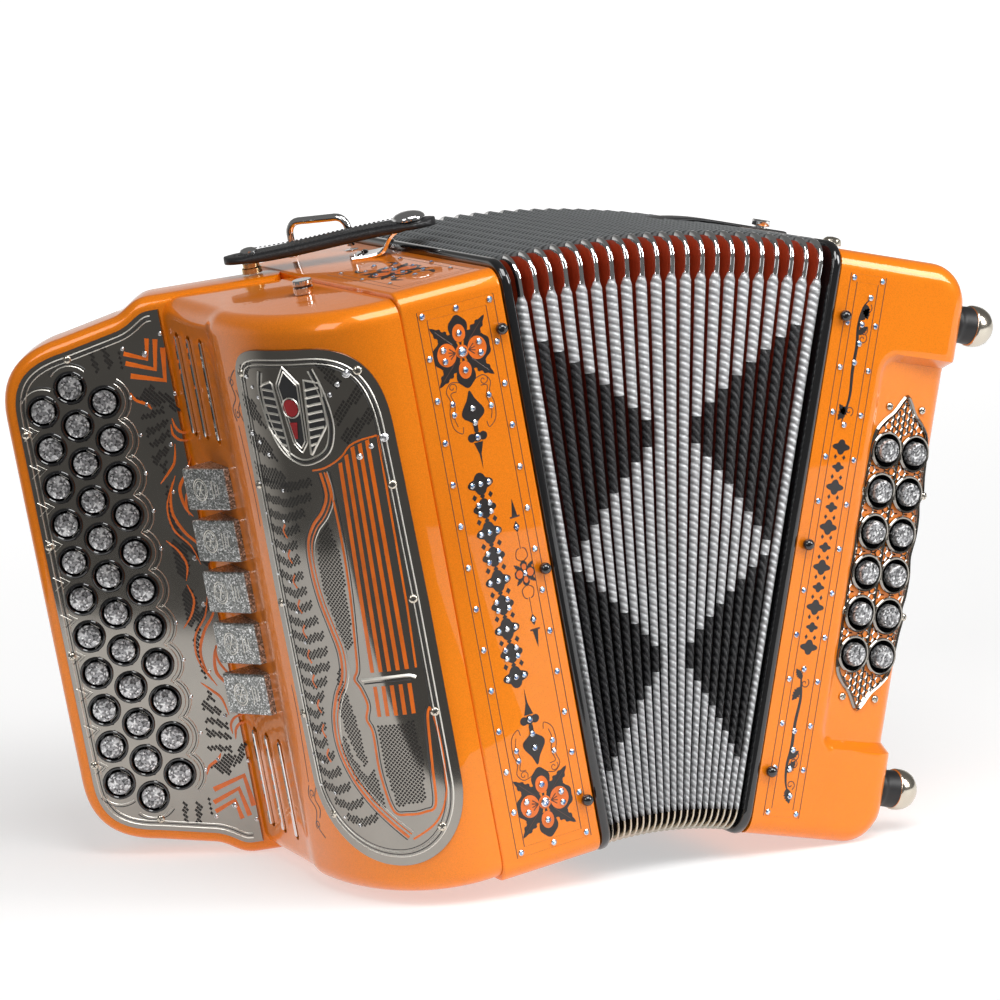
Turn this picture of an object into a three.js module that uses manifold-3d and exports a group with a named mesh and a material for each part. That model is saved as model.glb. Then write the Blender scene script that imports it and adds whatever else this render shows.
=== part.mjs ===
// A three-row button accordion standing fanned open: a treble half with its fingerboard,
// registers and grille, folded bellows, and a bass half with its own buttons.
// Millimetres, +X from treble to bass, +Y from the front towards the player, +Z up.
import * as THREE from 'three';
import { mergeVertices } from 'three/addons/utils/BufferGeometryUtils.js';
import Module from 'manifold-3d';

// Driving dimensions
const CASE_HEIGHT = 292;
const CASE_DEPTH = 184;
const CASE_WALL = 5;
const CASE_ROUND = 9;
const TREBLE_WIDTH = 53.5;
const BASS_WIDTH = 76;
const BASS_FRONT_WALL = 15;
const BASS_CORNER = 20;
const FAN_ANGLE = 21.15;
const TREBLE_LEAN = 8.28;
const BELLOWS_CLOSED = 60;
const PIVOT_DROP = 27;
const FOLDS = 21;
const FOLD_DEPTH = 12;
const BELLOWS_WALL = 3;
const FRAME_THICK = 5.2;
const FRAME_PROUD = 1.2;
const FRAME_BAND = 13;
const GAP = 0.3;

const COVER_WALL = 3.5;
const COVER_DROP = 2.5;
const COVER_ROUND = 12;
const COVER_REACH = 62;
const COVER_SIDE = CASE_DEPTH - 101;
const GRILLE_THICK = 1.2;
const GRILLE_HEIGHT = 256;
const GRILLE_MARGIN = 14;
const BOARD_THICK = 28;
const BOARD_ANGLE = 29.86;
const BOARD_EDGE = 20;
const BOARD_END_DROP = 14;
const JOIN_DEPTH = CASE_DEPTH - 24;
const PLATE_THICK = 1.2;
const PLATE_INSET = 6.5;

const BUTTON_PITCH = 19.5;
const ROW_PITCH = 15.74;
const ROW_MARGIN = 36.5;
const ROW_COUNTS = [11, 12, 11];
const BUTTON_RADIUS = 6.1;
const BUTTON_WELL = 8;
const BUTTON_HEIGHT = 9;
const BUTTON_PROUD = 2.4;
const WELL_DEPTH = 10.5;
const ROUND_SIDES = 10;

const REGISTER_COUNT = 5;
const REGISTER_PITCH = 26.3;
const REGISTER_HEIGHT = 21;
const REGISTER_LENGTH = 26.5;
const REGISTER_PROUD = 14;
const REGISTER_CLEAR = 0.6;
const REGISTER_BACK = JOIN_DEPTH - 29;
const AIR_SLOT_DEPTHS = [62, 100];
const AIR_SLOT_WIDTH = 14;
const AIR_SLOT_LENGTH = 228;
const SLOT_WIDTH = 5;
const SLOT_LENGTH = 53;
const SLOT_OFFSET = 102;
const SLOT_DEPTHS = [JOIN_DEPTH - 16, JOIN_DEPTH - 32, JOIN_DEPTH - 49];

const RECESS_START = 30;
const RECESS_STEP = 2.5;
const RECESS_ANGLE = 9;
const RECESS_HEIGHT = 196;
const BASS_PITCH = 20.5;
const BASS_COLUMNS = [13.9, 32];
const BASS_BUTTON_RADIUS = 6;
const BASS_WELL = 7.5;
const BASS_BUTTON_PROUD = 3.4;
const BASS_PER_ROW = 6;
const BASS_PLATE_HEIGHT = 158;
const BASS_PLATE_WIDTH = 40;
const FOOT_RADIUS = 9.5;
const FOOT_LENGTH = 22;
const FOOT_HEIGHT = 118;
const FOOT_INSET = 14;

const HANDLE_START = [-58, CASE_DEPTH - 31];
const HANDLE_END = [9, CASE_DEPTH - 80];
const HANDLE_WIDTH = 22;
const HANDLE_THICK = 6;
const HANDLE_TAIL = 13;
const HANDLE_LIFT = 5.5;
const HANDLE_RISE = 8;
const RING_FEET = [[-27, CASE_DEPTH - 12], [-6, CASE_DEPTH - 37]];
const RING_WIRE = 2;
const RING_HEIGHT = 17;
const KNOB_PLACE = [-64, 75];
const KNOB_RADIUS = 4.7;
const KNOB_HEIGHT = 7;
const STRAP_BULGE = 34;
const STRAP_THICK = 5;
const STRAP_WIDTH = 56;
const STRAP_REACH = 112;
const STRAP_DEPTH = CASE_DEPTH - 56;
const AIR_BUTTON_RADIUS = 9;
const AIR_BUTTON_PROUD = 9;
const AIR_BUTTON_PLACE = [CASE_DEPTH - 90, 70];
const AIR_TRAVEL = 4;
const STOWED_STRAP = 52;
const STOWED_WIDTH = 22;
const STOWED_DEPTH = CASE_DEPTH - 69;

const DEG = Math.PI / 180;
const HALF = CASE_HEIGHT / 2;
const FRAME_FACE = FRAME_THICK + 2 * GAP;
const TREBLE_LEFT = -(TREBLE_WIDTH - CASE_WALL);
const TREBLE_RIGHT = CASE_WALL;
const BASS_LEFT = -CASE_WALL - 1;
const BASS_RIGHT = BASS_LEFT + BASS_WIDTH;
const COVER_EDGE = TREBLE_LEFT - GAP;
const COVER_LEFT = COVER_EDGE - COVER_REACH;
const JOIN_X = COVER_LEFT + 4.3;

const wasm = await Module();
wasm.setup();

function solid(geometry) {
  const bare = geometry.index ? geometry.toNonIndexed() : geometry.clone();
  bare.deleteAttribute('normal');
  bare.deleteAttribute('uv');
  const merged = mergeVertices(bare, 1e-4);
  return new wasm.Manifold(new wasm.Mesh({
    numProp: 3,
    vertProperties: new Float32Array(merged.attributes.position.array),
    triVerts: new Uint32Array(merged.index.array),
  }));
}

function surface(manifold) {
  const mesh = manifold.getMesh();
  const geometry = new THREE.BufferGeometry();
  geometry.setAttribute('position', new THREE.BufferAttribute(mesh.vertProperties, 3));
  geometry.setIndex(new THREE.BufferAttribute(mesh.triVerts, 1));
  return geometry;
}

function cut(geometry, ...tools) {
  return surface(tools.reduce((body, tool) => body.subtract(solid(tool)), solid(geometry)));
}

function join(geometry, ...others) {
  return surface(others.reduce((body, other) => body.add(solid(other)), solid(geometry)));
}

function common(geometry, ...others) {
  return surface(others.reduce((body, other) => body.intersect(solid(other)), solid(geometry)));
}

function prism(shape, depth, segments = 4) {
  return new THREE.ExtrudeGeometry(shape, { depth, bevelEnabled: false, curveSegments: segments });
}

// A (y, z) outline swept along X, a (x, y) plan swept along Z, and a (x, z) front swept along Y
function sweepX(shape, from, to, segments) {
  const turn = new THREE.Matrix4().set(0, 0, 1, from, 1, 0, 0, 0, 0, 1, 0, 0, 0, 0, 0, 1);
  return prism(shape, to - from, segments).applyMatrix4(turn);
}

function sweepZ(shape, from, to, segments) {
  return prism(shape, to - from, segments).translate(0, 0, from);
}

function sweepY(shape, from, to, segments) {
  const turn = new THREE.Matrix4().set(1, 0, 0, 0, 0, 0, -1, to, 0, 1, 0, 0, 0, 0, 0, 1);
  return prism(shape, to - from, segments).applyMatrix4(turn);
}

function box(x0, x1, y0, y1, z0, z1) {
  const geometry = new THREE.BoxGeometry(x1 - x0, y1 - y0, z1 - z0);
  return geometry.translate((x0 + x1) / 2, (y0 + y1) / 2, (z0 + z1) / 2);
}

function roundedRect(x0, x1, y0, y1, radius) {
  const shape = new THREE.Shape();
  shape.moveTo(x0 + radius, y0);
  shape.lineTo(x1 - radius, y0);
  shape.absarc(x1 - radius, y0 + radius, radius, -Math.PI / 2, 0, false);
  shape.lineTo(x1, y1 - radius);
  shape.absarc(x1 - radius, y1 - radius, radius, 0, Math.PI / 2, false);
  shape.lineTo(x0 + radius, y1);
  shape.absarc(x0 + radius, y1 - radius, radius, Math.PI / 2, Math.PI, false);
  shape.lineTo(x0, y0 + radius);
  shape.absarc(x0 + radius, y0 + radius, radius, Math.PI, Math.PI * 1.5, false);
  return shape;
}

function polygon(points) {
  return new THREE.Shape(points.map(([x, y]) => new THREE.Vector2(x, y)));
}

// A line of plan points moved sideways: positive distance is to the right of its direction
function offsetLine(points, distance) {
  return points.map((point, i) => {
    const before = points[Math.max(i - 1, 0)];
    const after = points[Math.min(i + 1, points.length - 1)];
    const run = Math.hypot(after[0] - before[0], after[1] - before[1]);
    const side = [(after[1] - before[1]) / run, -(after[0] - before[0]) / run];
    return [point[0] + side[0] * distance, point[1] + side[1] * distance];
  });
}

function named(name, geometry, colour, roughness, metalness) {
  const material = new THREE.MeshStandardMaterial({ color: colour, roughness, metalness });
  const mesh = new THREE.Mesh(geometry, material);
  mesh.name = name;
  return mesh;
}

const lacquer = (name, geometry) => named(name, geometry, 0xf07a12, 0.2, 0.35);
const chrome = (name, geometry) => named(name, geometry, 0xd6d6d4, 0.12, 1);
const leather = (name, geometry) => named(name, geometry, 0x1b1b1d, 0.6, 0);
const glitter = (name, geometry) => named(name, geometry, 0xb9bcc0, 0.35, 0.6);
const black = (name, geometry) => named(name, geometry, 0x101012, 0.2, 0.1);
const timber = (name, geometry) => named(name, geometry, 0xc49a62, 0.6, 0);

// Fingerboard frame: X along the board's width, Y up, Z out of its front face
const BOARD_DIRECTION = [Math.cos(BOARD_ANGLE * DEG), -Math.sin(BOARD_ANGLE * DEG)];
const BOARD_OUT = [-Math.sin(BOARD_ANGLE * DEG), -Math.cos(BOARD_ANGLE * DEG)];
const COVER_FOOT = ROW_PITCH * (ROW_COUNTS.length - 1) + ROW_MARGIN;
const BOARD_ORIGIN = [
  JOIN_X - BOARD_DIRECTION[0] * COVER_FOOT,
  JOIN_DEPTH - BOARD_DIRECTION[1] * COVER_FOOT,
];

const boardMatrix = new THREE.Matrix4().makeBasis(
  new THREE.Vector3(...BOARD_DIRECTION, 0),
  new THREE.Vector3(0, 0, 1),
  new THREE.Vector3(...BOARD_OUT, 0),
).setPosition(...BOARD_ORIGIN, 0);

// Where the board's front plane, moved out by a distance, meets a given x
function boardPlaneY(x, out = 0) {
  const along = (x - BOARD_ORIGIN[0] - BOARD_OUT[0] * out) / BOARD_DIRECTION[0];
  return BOARD_ORIGIN[1] + BOARD_DIRECTION[1] * along + BOARD_OUT[1] * out;
}

function boardOutline(inset, right, half) {
  const end = half - BOARD_END_DROP;
  const left = -BOARD_EDGE + inset;
  const top = end - inset * 0.8;
  const shape = new THREE.Shape();
  shape.moveTo(right, -half + inset);
  shape.lineTo(right, half - inset);
  shape.lineTo(62, half - inset);
  shape.bezierCurveTo(52, half - inset, 50, half - 6 - inset, 42, half - 8 - inset);
  shape.lineTo(14, top);
  shape.bezierCurveTo(-6, top - 3, left, top - 12, left, top - 36);
  shape.lineTo(left, -top + 36);
  shape.bezierCurveTo(left, -top + 12, -6, -top + 3, 14, -top);
  shape.lineTo(42, -half + 8 + inset);
  shape.bezierCurveTo(50, -half + 6 + inset, 52, -half + inset, 62, -half + inset);
  return shape;
}

function buttonPlaces() {
  return ROW_COUNTS.flatMap((count, row) => Array.from({ length: count }, (_, i) => ({
    name: `treble_button_${row + 1}_${String(i + 1).padStart(2, '0')}`,
    x: row * ROW_PITCH,
    y: ((count - 1) / 2 - i) * BUTTON_PITCH,
  })));
}

function wells(radius, depth, places) {
  return places.map(({ x, y }) => {
    const hole = new THREE.CylinderGeometry(radius, radius, 2 * depth, ROUND_SIDES);
    return hole.rotateX(Math.PI / 2).translate(x, y, 0);
  });
}

function makeFingerboard() {
  const slab = prism(boardOutline(0, 140, HALF - 0.5), BOARD_THICK, 5);
  slab.translate(0, 0, -BOARD_THICK);
  const holes = wells(BUTTON_WELL, WELL_DEPTH, buttonPlaces());
  const casingSide = box(COVER_EDGE, 400, -400, 400, -400, 400);
  casingSide.applyMatrix4(boardMatrix.clone().invert());
  return lacquer('fingerboard', cut(slab, casingSide, ...holes));
}

function makeButtonPlate() {
  const skin = prism(boardOutline(PLATE_INSET, COVER_FOOT - 1.2, HALF - 0.5), PLATE_THICK, 5);
  skin.translate(0, 0, GAP);
  return chrome('button_plate', cut(skin, ...wells(BUTTON_WELL, WELL_DEPTH, buttonPlaces())));
}

function makeButton({ name, x, y }) {
  const top = BUTTON_PROUD;
  const profile = [
    [0, top], [BUTTON_RADIUS - 0.8, top], [BUTTON_RADIUS, top - 0.8],
    [BUTTON_RADIUS, top - BUTTON_HEIGHT], [0, top - BUTTON_HEIGHT],
  ].map(([r, z]) => new THREE.Vector2(r, z)).reverse();
  const button = glitter(name, new THREE.LatheGeometry(profile, ROUND_SIDES).rotateX(Math.PI / 2));
  button.position.set(x, y, 0);
  return button;
}

// The cover's outside line in plan, from the groove round to its foot on the fingerboard
function coverLine() {
  const bulge = new THREE.CubicBezierCurve(
    new THREE.Vector2(COVER_EDGE - 6, 0),
    new THREE.Vector2(COVER_EDGE - 31, 0),
    new THREE.Vector2(COVER_LEFT + 2.5, 25),
    new THREE.Vector2(COVER_LEFT, COVER_SIDE),
  );
  const line = bulge.getPoints(9).map((p) => [p.x, p.y]);
  return [[COVER_EDGE, 0], ...line, [JOIN_X, boardPlaneY(JOIN_X, GAP)]];
}

function makeCover() {
  const outside = coverLine();
  const inside = offsetLine(outside, COVER_WALL);
  const half = HALF - COVER_DROP;
  const body = common(
    sweepZ(polygon([...outside, [COVER_EDGE, boardPlaneY(COVER_EDGE, GAP)]]), -half, half),
    sweepX(roundedRect(0, CASE_DEPTH + 60, -half, half, COVER_ROUND), -400, 0, 3),
  );
  const openRight = [COVER_EDGE + 9, COVER_WALL];
  const openBack = [[COVER_EDGE - 56, 300], [COVER_EDGE + 9, 300]];
  const hollow = sweepZ(
    polygon([openRight, ...inside.slice(1), ...openBack]), -half + COVER_WALL, half - COVER_WALL,
  );
  const grilleHole = sweepZ(polygon([
    [COVER_LEFT - 20, COVER_SIDE - 24], [COVER_LEFT + 12, COVER_SIDE - 30],
    [COVER_EDGE - 16, 12], [COVER_EDGE - 16, -20], [COVER_LEFT - 20, -20],
  ]), -GRILLE_HEIGHT / 2 + GRILLE_MARGIN, GRILLE_HEIGHT / 2 - GRILLE_MARGIN);
  const front = REGISTER_BACK - REGISTER_LENGTH - REGISTER_CLEAR;
  const windows = registerHeights().map((z) => box(
    COVER_LEFT - 20, COVER_LEFT + 20, front, REGISTER_BACK + REGISTER_CLEAR,
    z - REGISTER_HEIGHT / 2 - REGISTER_CLEAR, z + REGISTER_HEIGHT / 2 + REGISTER_CLEAR,
  ));
  const slots = SLOT_DEPTHS.flatMap((y) => [1, -1].map((side) => box(
    COVER_LEFT - 20, COVER_LEFT + 20, y - SLOT_WIDTH / 2, y + SLOT_WIDTH / 2,
    side * SLOT_OFFSET - SLOT_LENGTH / 2, side * SLOT_OFFSET + SLOT_LENGTH / 2,
  )));
  return lacquer('treble_cover', cut(body, hollow, grilleHole, ...windows, ...slots));
}

function makeGrille() {
  const line = coverLine().slice(1, -2);
  const inner = offsetLine(line, -GAP);
  const outer = offsetLine(line, -GAP - GRILLE_THICK);
  const half = GRILLE_HEIGHT / 2;
  return chrome('grille_plate', sweepZ(polygon([...outer, ...inner.reverse()]), -half, half));
}

function registerHeights() {
  const middle = (REGISTER_COUNT - 1) / 2;
  return Array.from({ length: REGISTER_COUNT }, (_, i) => (middle - i) * REGISTER_PITCH + 1.6);
}

function makeRegister(z, i) {
  const back = REGISTER_BACK;
  const front = back - REGISTER_LENGTH;
  const inner = COVER_LEFT + 7;
  const wedge = polygon([
    [inner, back], [COVER_LEFT - REGISTER_PROUD + 3, back], [COVER_LEFT - REGISTER_PROUD + 2, back - 2.5],
    [COVER_LEFT, front], [inner, front],
  ]);
  const half = REGISTER_HEIGHT / 2;
  return glitter(`register_${i + 1}`, sweepZ(wedge, z - half, z + half));
}

function makeTrebleCasing() {
  const outline = roundedRect(0, CASE_DEPTH, -HALF, HALF, CASE_ROUND);
  const outside = sweepX(outline, TREBLE_LEFT, TREBLE_RIGHT, 3);
  const room = box(
    TREBLE_LEFT + CASE_WALL, 100, CASE_WALL, CASE_DEPTH - CASE_WALL, -HALF + CASE_WALL, HALF - CASE_WALL,
  );
  const airSlots = AIR_SLOT_DEPTHS.map((y) => box(
    TREBLE_LEFT - 5, TREBLE_LEFT + CASE_WALL + 5,
    y - AIR_SLOT_WIDTH / 2, y + AIR_SLOT_WIDTH / 2, -AIR_SLOT_LENGTH / 2, AIR_SLOT_LENGTH / 2,
  ));
  return lacquer('treble_casing', cut(outside, room, ...airSlots));
}

function makeReedBlock(name, x0, x1, y0, y1, slots) {
  const half = HALF - 4 * CASE_WALL;
  const block = box(x0, x1, y0, y1, -half, half);
  const rise = (2 * half - 16) / slots;
  const chambers = Array.from({ length: slots }, (_, i) => {
    const low = -half + 12 + i * rise;
    return box(x0 + 6, x1 - 6, y0 - 5, y1 + 5, low, low + rise - 5);
  });
  return timber(name, cut(block, ...chambers));
}

function makeFrame(name, from, to) {
  const low = -FRAME_PROUD;
  const high = CASE_DEPTH + FRAME_PROUD;
  const half = HALF + FRAME_PROUD;
  const ring = sweepX(roundedRect(low, high, -half, half, CASE_ROUND + FRAME_PROUD), from, to, 2);
  const hole = box(
    from - 5, to + 5, low + FRAME_BAND, high - FRAME_BAND, -half + FRAME_BAND, half - FRAME_BAND,
  );
  return black(name, cut(ring, hole));
}

// Rounded outlines on planes that fan about one line, skinned into a closed tube
function makeBellows(axisDrop) {
  const section = (inset) => roundedRect(
    inset, CASE_DEPTH - inset, axisDrop - HALF + inset, axisDrop + HALF - inset, CASE_ROUND,
  ).extractPoints(1).shape.slice(0, -1);
  const angle = FAN_ANGLE * DEG;
  const first = Math.asin(GAP / (axisDrop - HALF));
  const span = angle - 2 * first;
  const rings = [];
  for (let k = 0; k <= 2 * FOLDS; k += 1) {
    rings.push({ turn: first + span * k / (2 * FOLDS), inset: k % 2 ? 0 : FOLD_DEPTH });
  }
  for (let k = FOLDS; k >= 0; k -= 3) {
    rings.push({ turn: first + span * k / FOLDS, inset: FOLD_DEPTH + BELLOWS_WALL });
  }
  const points = [];
  rings.forEach(({ turn, inset }) => section(inset).forEach((p) => points.push(
    p.y * Math.sin(turn), p.x, p.y * Math.cos(turn),
  )));
  const count = section(0).length;
  const index = [];
  rings.forEach((_, k) => {
    const here = k * count;
    const next = ((k + 1) % rings.length) * count;
    for (let i = 0; i < count; i += 1) {
      const j = (i + 1) % count;
      index.push(here + i, next + j, next + i, here + i, here + j, next + j);
    }
  });
  const geometry = new THREE.BufferGeometry();
  geometry.setAttribute('position', new THREE.Float32BufferAttribute(points, 3));
  geometry.setIndex(index);
  return named('bellows', geometry, 0xa8abb0, 0.5, 0.2);
}

// Recess frame on the bass front: X across the sloped floor, Y up, Z out of it
const recessMatrix = new THREE.Matrix4().makeBasis(
  new THREE.Vector3(Math.cos(RECESS_ANGLE * DEG), Math.sin(RECESS_ANGLE * DEG), 0),
  new THREE.Vector3(0, 0, 1),
  new THREE.Vector3(Math.sin(RECESS_ANGLE * DEG), -Math.cos(RECESS_ANGLE * DEG), 0),
).setPosition(BASS_LEFT + RECESS_START, RECESS_STEP, 0);

function bassPlaces(column) {
  return Array.from({ length: BASS_PER_ROW }, (_, i) => ({
    x: BASS_COLUMNS[column],
    y: ((BASS_PER_ROW - 1) / 2 - i) * BASS_PITCH,
  }));
}

function makeBassCasing() {
  const front = new THREE.Shape();
  front.moveTo(BASS_LEFT, -HALF);
  front.lineTo(BASS_RIGHT - BASS_CORNER, -HALF);
  front.absarc(BASS_RIGHT - BASS_CORNER, -HALF + BASS_CORNER, BASS_CORNER, -Math.PI / 2, 0, false);
  front.lineTo(BASS_RIGHT, HALF - BASS_CORNER);
  front.absarc(BASS_RIGHT - BASS_CORNER, HALF - BASS_CORNER, BASS_CORNER, 0, Math.PI / 2, false);
  front.lineTo(BASS_LEFT, HALF);
  const outside = common(
    sweepY(front, 0, CASE_DEPTH, 3),
    sweepX(roundedRect(0, CASE_DEPTH, -HALF, HALF, CASE_ROUND), BASS_LEFT - 1, BASS_RIGHT + 1, 3),
  );
  const half = RECESS_HEIGHT / 2;
  const recess = prism(roundedRect(0, BASS_WIDTH * 2, -half, half, 10), 60, 3);
  recess.applyMatrix4(recessMatrix);
  const room = sweepY(
    roundedRect(
      BASS_LEFT - 60, BASS_RIGHT - CASE_WALL, -HALF + CASE_WALL, HALF - CASE_WALL, BASS_CORNER - CASE_WALL,
    ), BASS_FRONT_WALL, CASE_DEPTH - CASE_WALL, 2,
  );
  const holes = [0, 1].flatMap((column) => wells(BASS_WELL, 45, bassPlaces(column)));
  holes.forEach((hole) => hole.applyMatrix4(recessMatrix));
  const [airY, airZ] = AIR_BUTTON_PLACE;
  const airHole = new THREE.CylinderGeometry(5, 5, 30, ROUND_SIDES);
  airHole.rotateZ(Math.PI / 2).translate(BASS_RIGHT, airY, airZ);
  const feet = [FOOT_INSET, CASE_DEPTH - FOOT_INSET].flatMap((y) => [1, -1].map((side) => {
    const profile = [
      [0, -2], [FOOT_RADIUS - 1, -2], [FOOT_RADIUS - 0.6, FOOT_LENGTH - 8],
      [FOOT_RADIUS, FOOT_LENGTH - 6], [FOOT_RADIUS * 0.7, FOOT_LENGTH - 1.5], [0, FOOT_LENGTH],
    ].map(([r, h]) => new THREE.Vector2(r, h));
    const foot = new THREE.LatheGeometry(profile, ROUND_SIDES);
    return foot.rotateZ(-Math.PI / 2).translate(BASS_RIGHT, y, side * FOOT_HEIGHT);
  }));
  return lacquer('bass_casing', join(cut(outside, room, recess, ...holes, airHole), ...feet));
}

function makeBassPlate() {
  const low = 1.6;
  const high = low + BASS_PLATE_WIDTH;
  const middle = (BASS_COLUMNS[0] + BASS_COLUMNS[1]) / 2;
  const end = BASS_PLATE_HEIGHT / 2;
  const outline = polygon([
    [low, -end + 28], [middle, -end], [high, -end + 28],
    [high, end - 28], [middle, end], [low, end - 28],
  ]);
  const skin = prism(outline, PLATE_THICK).translate(0, 0, GAP);
  const holes = [0, 1].flatMap((column) => wells(BASS_WELL, 20, bassPlaces(column)));
  return chrome('bass_button_plate', cut(skin, ...holes));
}

// Six buttons on stems that share one rail behind the recess floor
function makeBassRow(column) {
  const railDepth = BASS_FRONT_WALL + 6;
  const places = bassPlaces(column);
  const end = places[0].y + BASS_BUTTON_RADIUS;
  const middle = BASS_COLUMNS[column];
  const rail = box(middle - 5, middle + 5, -end, end, -railDepth - 4, -railDepth);
  const stems = places.map(({ x, y }) => {
    const profile = [
      [0, -railDepth - 1], [BASS_BUTTON_RADIUS * 0.6, -railDepth - 1], [BASS_BUTTON_RADIUS * 0.6, -7],
      [BASS_BUTTON_RADIUS, -7], [BASS_BUTTON_RADIUS, BASS_BUTTON_PROUD - 0.8],
      [BASS_BUTTON_RADIUS - 0.8, BASS_BUTTON_PROUD], [0, BASS_BUTTON_PROUD],
    ].map(([r, h]) => new THREE.Vector2(r, h));
    return new THREE.LatheGeometry(profile, ROUND_SIDES).rotateX(Math.PI / 2).translate(x, y, 0);
  });
  return glitter(`bass_button_row_${column + 1}`, join(rail, ...stems));
}

function makeHandStrap() {
  const start = BASS_RIGHT + GAP;
  const steps = 12;
  const heights = Array.from({ length: steps + 1 }, (_, i) => STRAP_REACH * (1 - 2 * i / steps));
  const bulge = (z) => STRAP_BULGE * Math.sin(Math.PI / 2 * (1 - Math.abs(z) / STRAP_REACH)) ** 0.8;
  const inner = heights.map((z) => [start + bulge(z), z]);
  const outer = heights.map((z) => [start + bulge(z) + STRAP_THICK, z]).reverse();
  const low = STRAP_DEPTH - STRAP_WIDTH / 2;
  return leather('hand_strap', sweepY(polygon([...inner, ...outer]), low, low + STRAP_WIDTH));
}

function makeAirButton() {
  const profile = [
    [0, -12], [4.2, -12], [4.2, 2 * GAP + AIR_TRAVEL], [AIR_BUTTON_RADIUS, 2 * GAP + AIR_TRAVEL],
    [AIR_BUTTON_RADIUS, AIR_BUTTON_PROUD - 1], [AIR_BUTTON_RADIUS - 1.5, AIR_BUTTON_PROUD],
    [0, AIR_BUTTON_PROUD],
  ].map(([r, h]) => new THREE.Vector2(r, h));
  const button = chrome('air_button', new THREE.LatheGeometry(profile, ROUND_SIDES).rotateZ(-Math.PI / 2));
  button.position.set(BASS_RIGHT, ...AIR_BUTTON_PLACE);
  return button;
}

function makeBellowsStrap() {
  const low = STOWED_DEPTH - STOWED_WIDTH / 2;
  const right = BASS_LEFT + 26;
  const shape = polygon([
    [BASS_LEFT - STOWED_STRAP, HALF + 2.2], [right, HALF + 2.2],
    [right, HALF + 4.4], [BASS_LEFT - STOWED_STRAP, HALF + 4.4],
  ]);
  return leather('bellows_strap', sweepY(shape, low, low + STOWED_WIDTH));
}

// Handle frame: X along the strap from its left fixing to its right one, Y across, Z up
const handleRun = Math.hypot(HANDLE_END[0] - HANDLE_START[0], HANDLE_END[1] - HANDLE_START[1]);
const handleTurn = Math.atan2(HANDLE_END[1] - HANDLE_START[1], HANDLE_END[0] - HANDLE_START[0]);

function handlePlaced(mesh) {
  mesh.position.set(...HANDLE_START, HALF);
  mesh.rotation.z = handleTurn;
  return mesh;
}

function makeCarryHandle() {
  const height = (x) => {
    const t = THREE.MathUtils.clamp(x / handleRun, 0, 1);
    return HANDLE_LIFT + HANDLE_RISE * t * t * (3 - 2 * t);
  };
  const steps = 10;
  const stride = (handleRun + 2 * HANDLE_TAIL) / steps;
  const xs = Array.from({ length: steps + 1 }, (_, i) => i * stride - HANDLE_TAIL);
  const under = xs.map((x) => [x, height(x)]);
  const over = xs.map((x) => [x, height(x) + HANDLE_THICK]).reverse();
  const half = HANDLE_WIDTH / 2;
  const strap = sweepY(polygon([...under, ...over]), -half, half);
  const plan = sweepZ(
    roundedRect(-HANDLE_TAIL, handleRun + HANDLE_TAIL, -half, half, half - 0.01), -50, 50, 4,
  );
  return handlePlaced(leather('carry_handle', common(strap, plan)));
}

function makeHandleBracket() {
  const top = HANDLE_LIFT + HANDLE_RISE - GAP;
  const foot = handleRun - 30;
  const shape = polygon([
    [foot, GAP], [foot + 18, GAP], [handleRun - 5, top - 2], [handleRun + 6, top - 2],
    [handleRun + 6, top], [handleRun - 6, top], [foot + 17, GAP + 2], [foot, GAP + 2],
  ]);
  return handlePlaced(chrome('handle_bracket', sweepY(shape, -8, 8)));
}

function makeStrapRing() {
  const [[x0, y0], [x1, y1]] = RING_FEET;
  const half = Math.hypot(x1 - x0, y1 - y0) / 2;
  const corner = 6;
  const path = new THREE.CurvePath();
  const low = new THREE.Vector3(-half, 0, 0);
  const points = [[-half, 0], [-half, RING_HEIGHT - corner], [-half + corner, RING_HEIGHT],
    [half - corner, RING_HEIGHT], [half, RING_HEIGHT - corner], [half, 0]];
  const at = points.map(([x, z]) => new THREE.Vector3(x, 0, z));
  path.add(new THREE.LineCurve3(low, at[1]));
  path.add(new THREE.QuadraticBezierCurve3(at[1], new THREE.Vector3(-half, 0, RING_HEIGHT), at[2]));
  path.add(new THREE.LineCurve3(at[2], at[3]));
  path.add(new THREE.QuadraticBezierCurve3(at[3], new THREE.Vector3(half, 0, RING_HEIGHT), at[4]));
  path.add(new THREE.LineCurve3(at[4], at[5]));
  const wire = new THREE.Shape().absarc(0, 0, RING_WIRE, 0, Math.PI * 2, false);
  const geometry = new THREE.ExtrudeGeometry(wire, {
    steps: 20, extrudePath: path, curveSegments: 4, bevelEnabled: false,
  });
  const ring = chrome('strap_ring', surface(solid(geometry)));
  ring.position.set((x0 + x1) / 2, (y0 + y1) / 2, HALF + RING_WIRE + GAP);
  ring.rotation.z = Math.atan2(y1 - y0, x1 - x0);
  return ring;
}

function makeCoverKnob() {
  const top = HALF - COVER_DROP + GAP;
  const knob = chrome('cover_knob', new THREE.CylinderGeometry(
    KNOB_RADIUS, KNOB_RADIUS, KNOB_HEIGHT, ROUND_SIDES,
  ).rotateX(Math.PI / 2));
  knob.position.set(...KNOB_PLACE, top + KNOB_HEIGHT / 2);
  return knob;
}

function makeTreble() {
  const half = new THREE.Group();
  half.add(
    makeTrebleCasing(),
    makeCover(),
    makeGrille(),
    makeReedBlock('treble_reed_block', TREBLE_LEFT + CASE_WALL + GAP, 0, 40, CASE_DEPTH - 66, 7),
    makeFrame('treble_bellows_frame', TREBLE_RIGHT + GAP, TREBLE_RIGHT + GAP + FRAME_THICK),
    makeCarryHandle(),
    makeHandleBracket(),
    makeStrapRing(),
    makeCoverKnob(),
    ...registerHeights().map(makeRegister),
  );
  const board = new THREE.Group();
  board.quaternion.setFromRotationMatrix(boardMatrix);
  board.position.setFromMatrixPosition(boardMatrix);
  board.add(makeFingerboard(), makeButtonPlate(), ...buttonPlaces().map(makeButton));
  half.add(board);
  return half;
}

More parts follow.
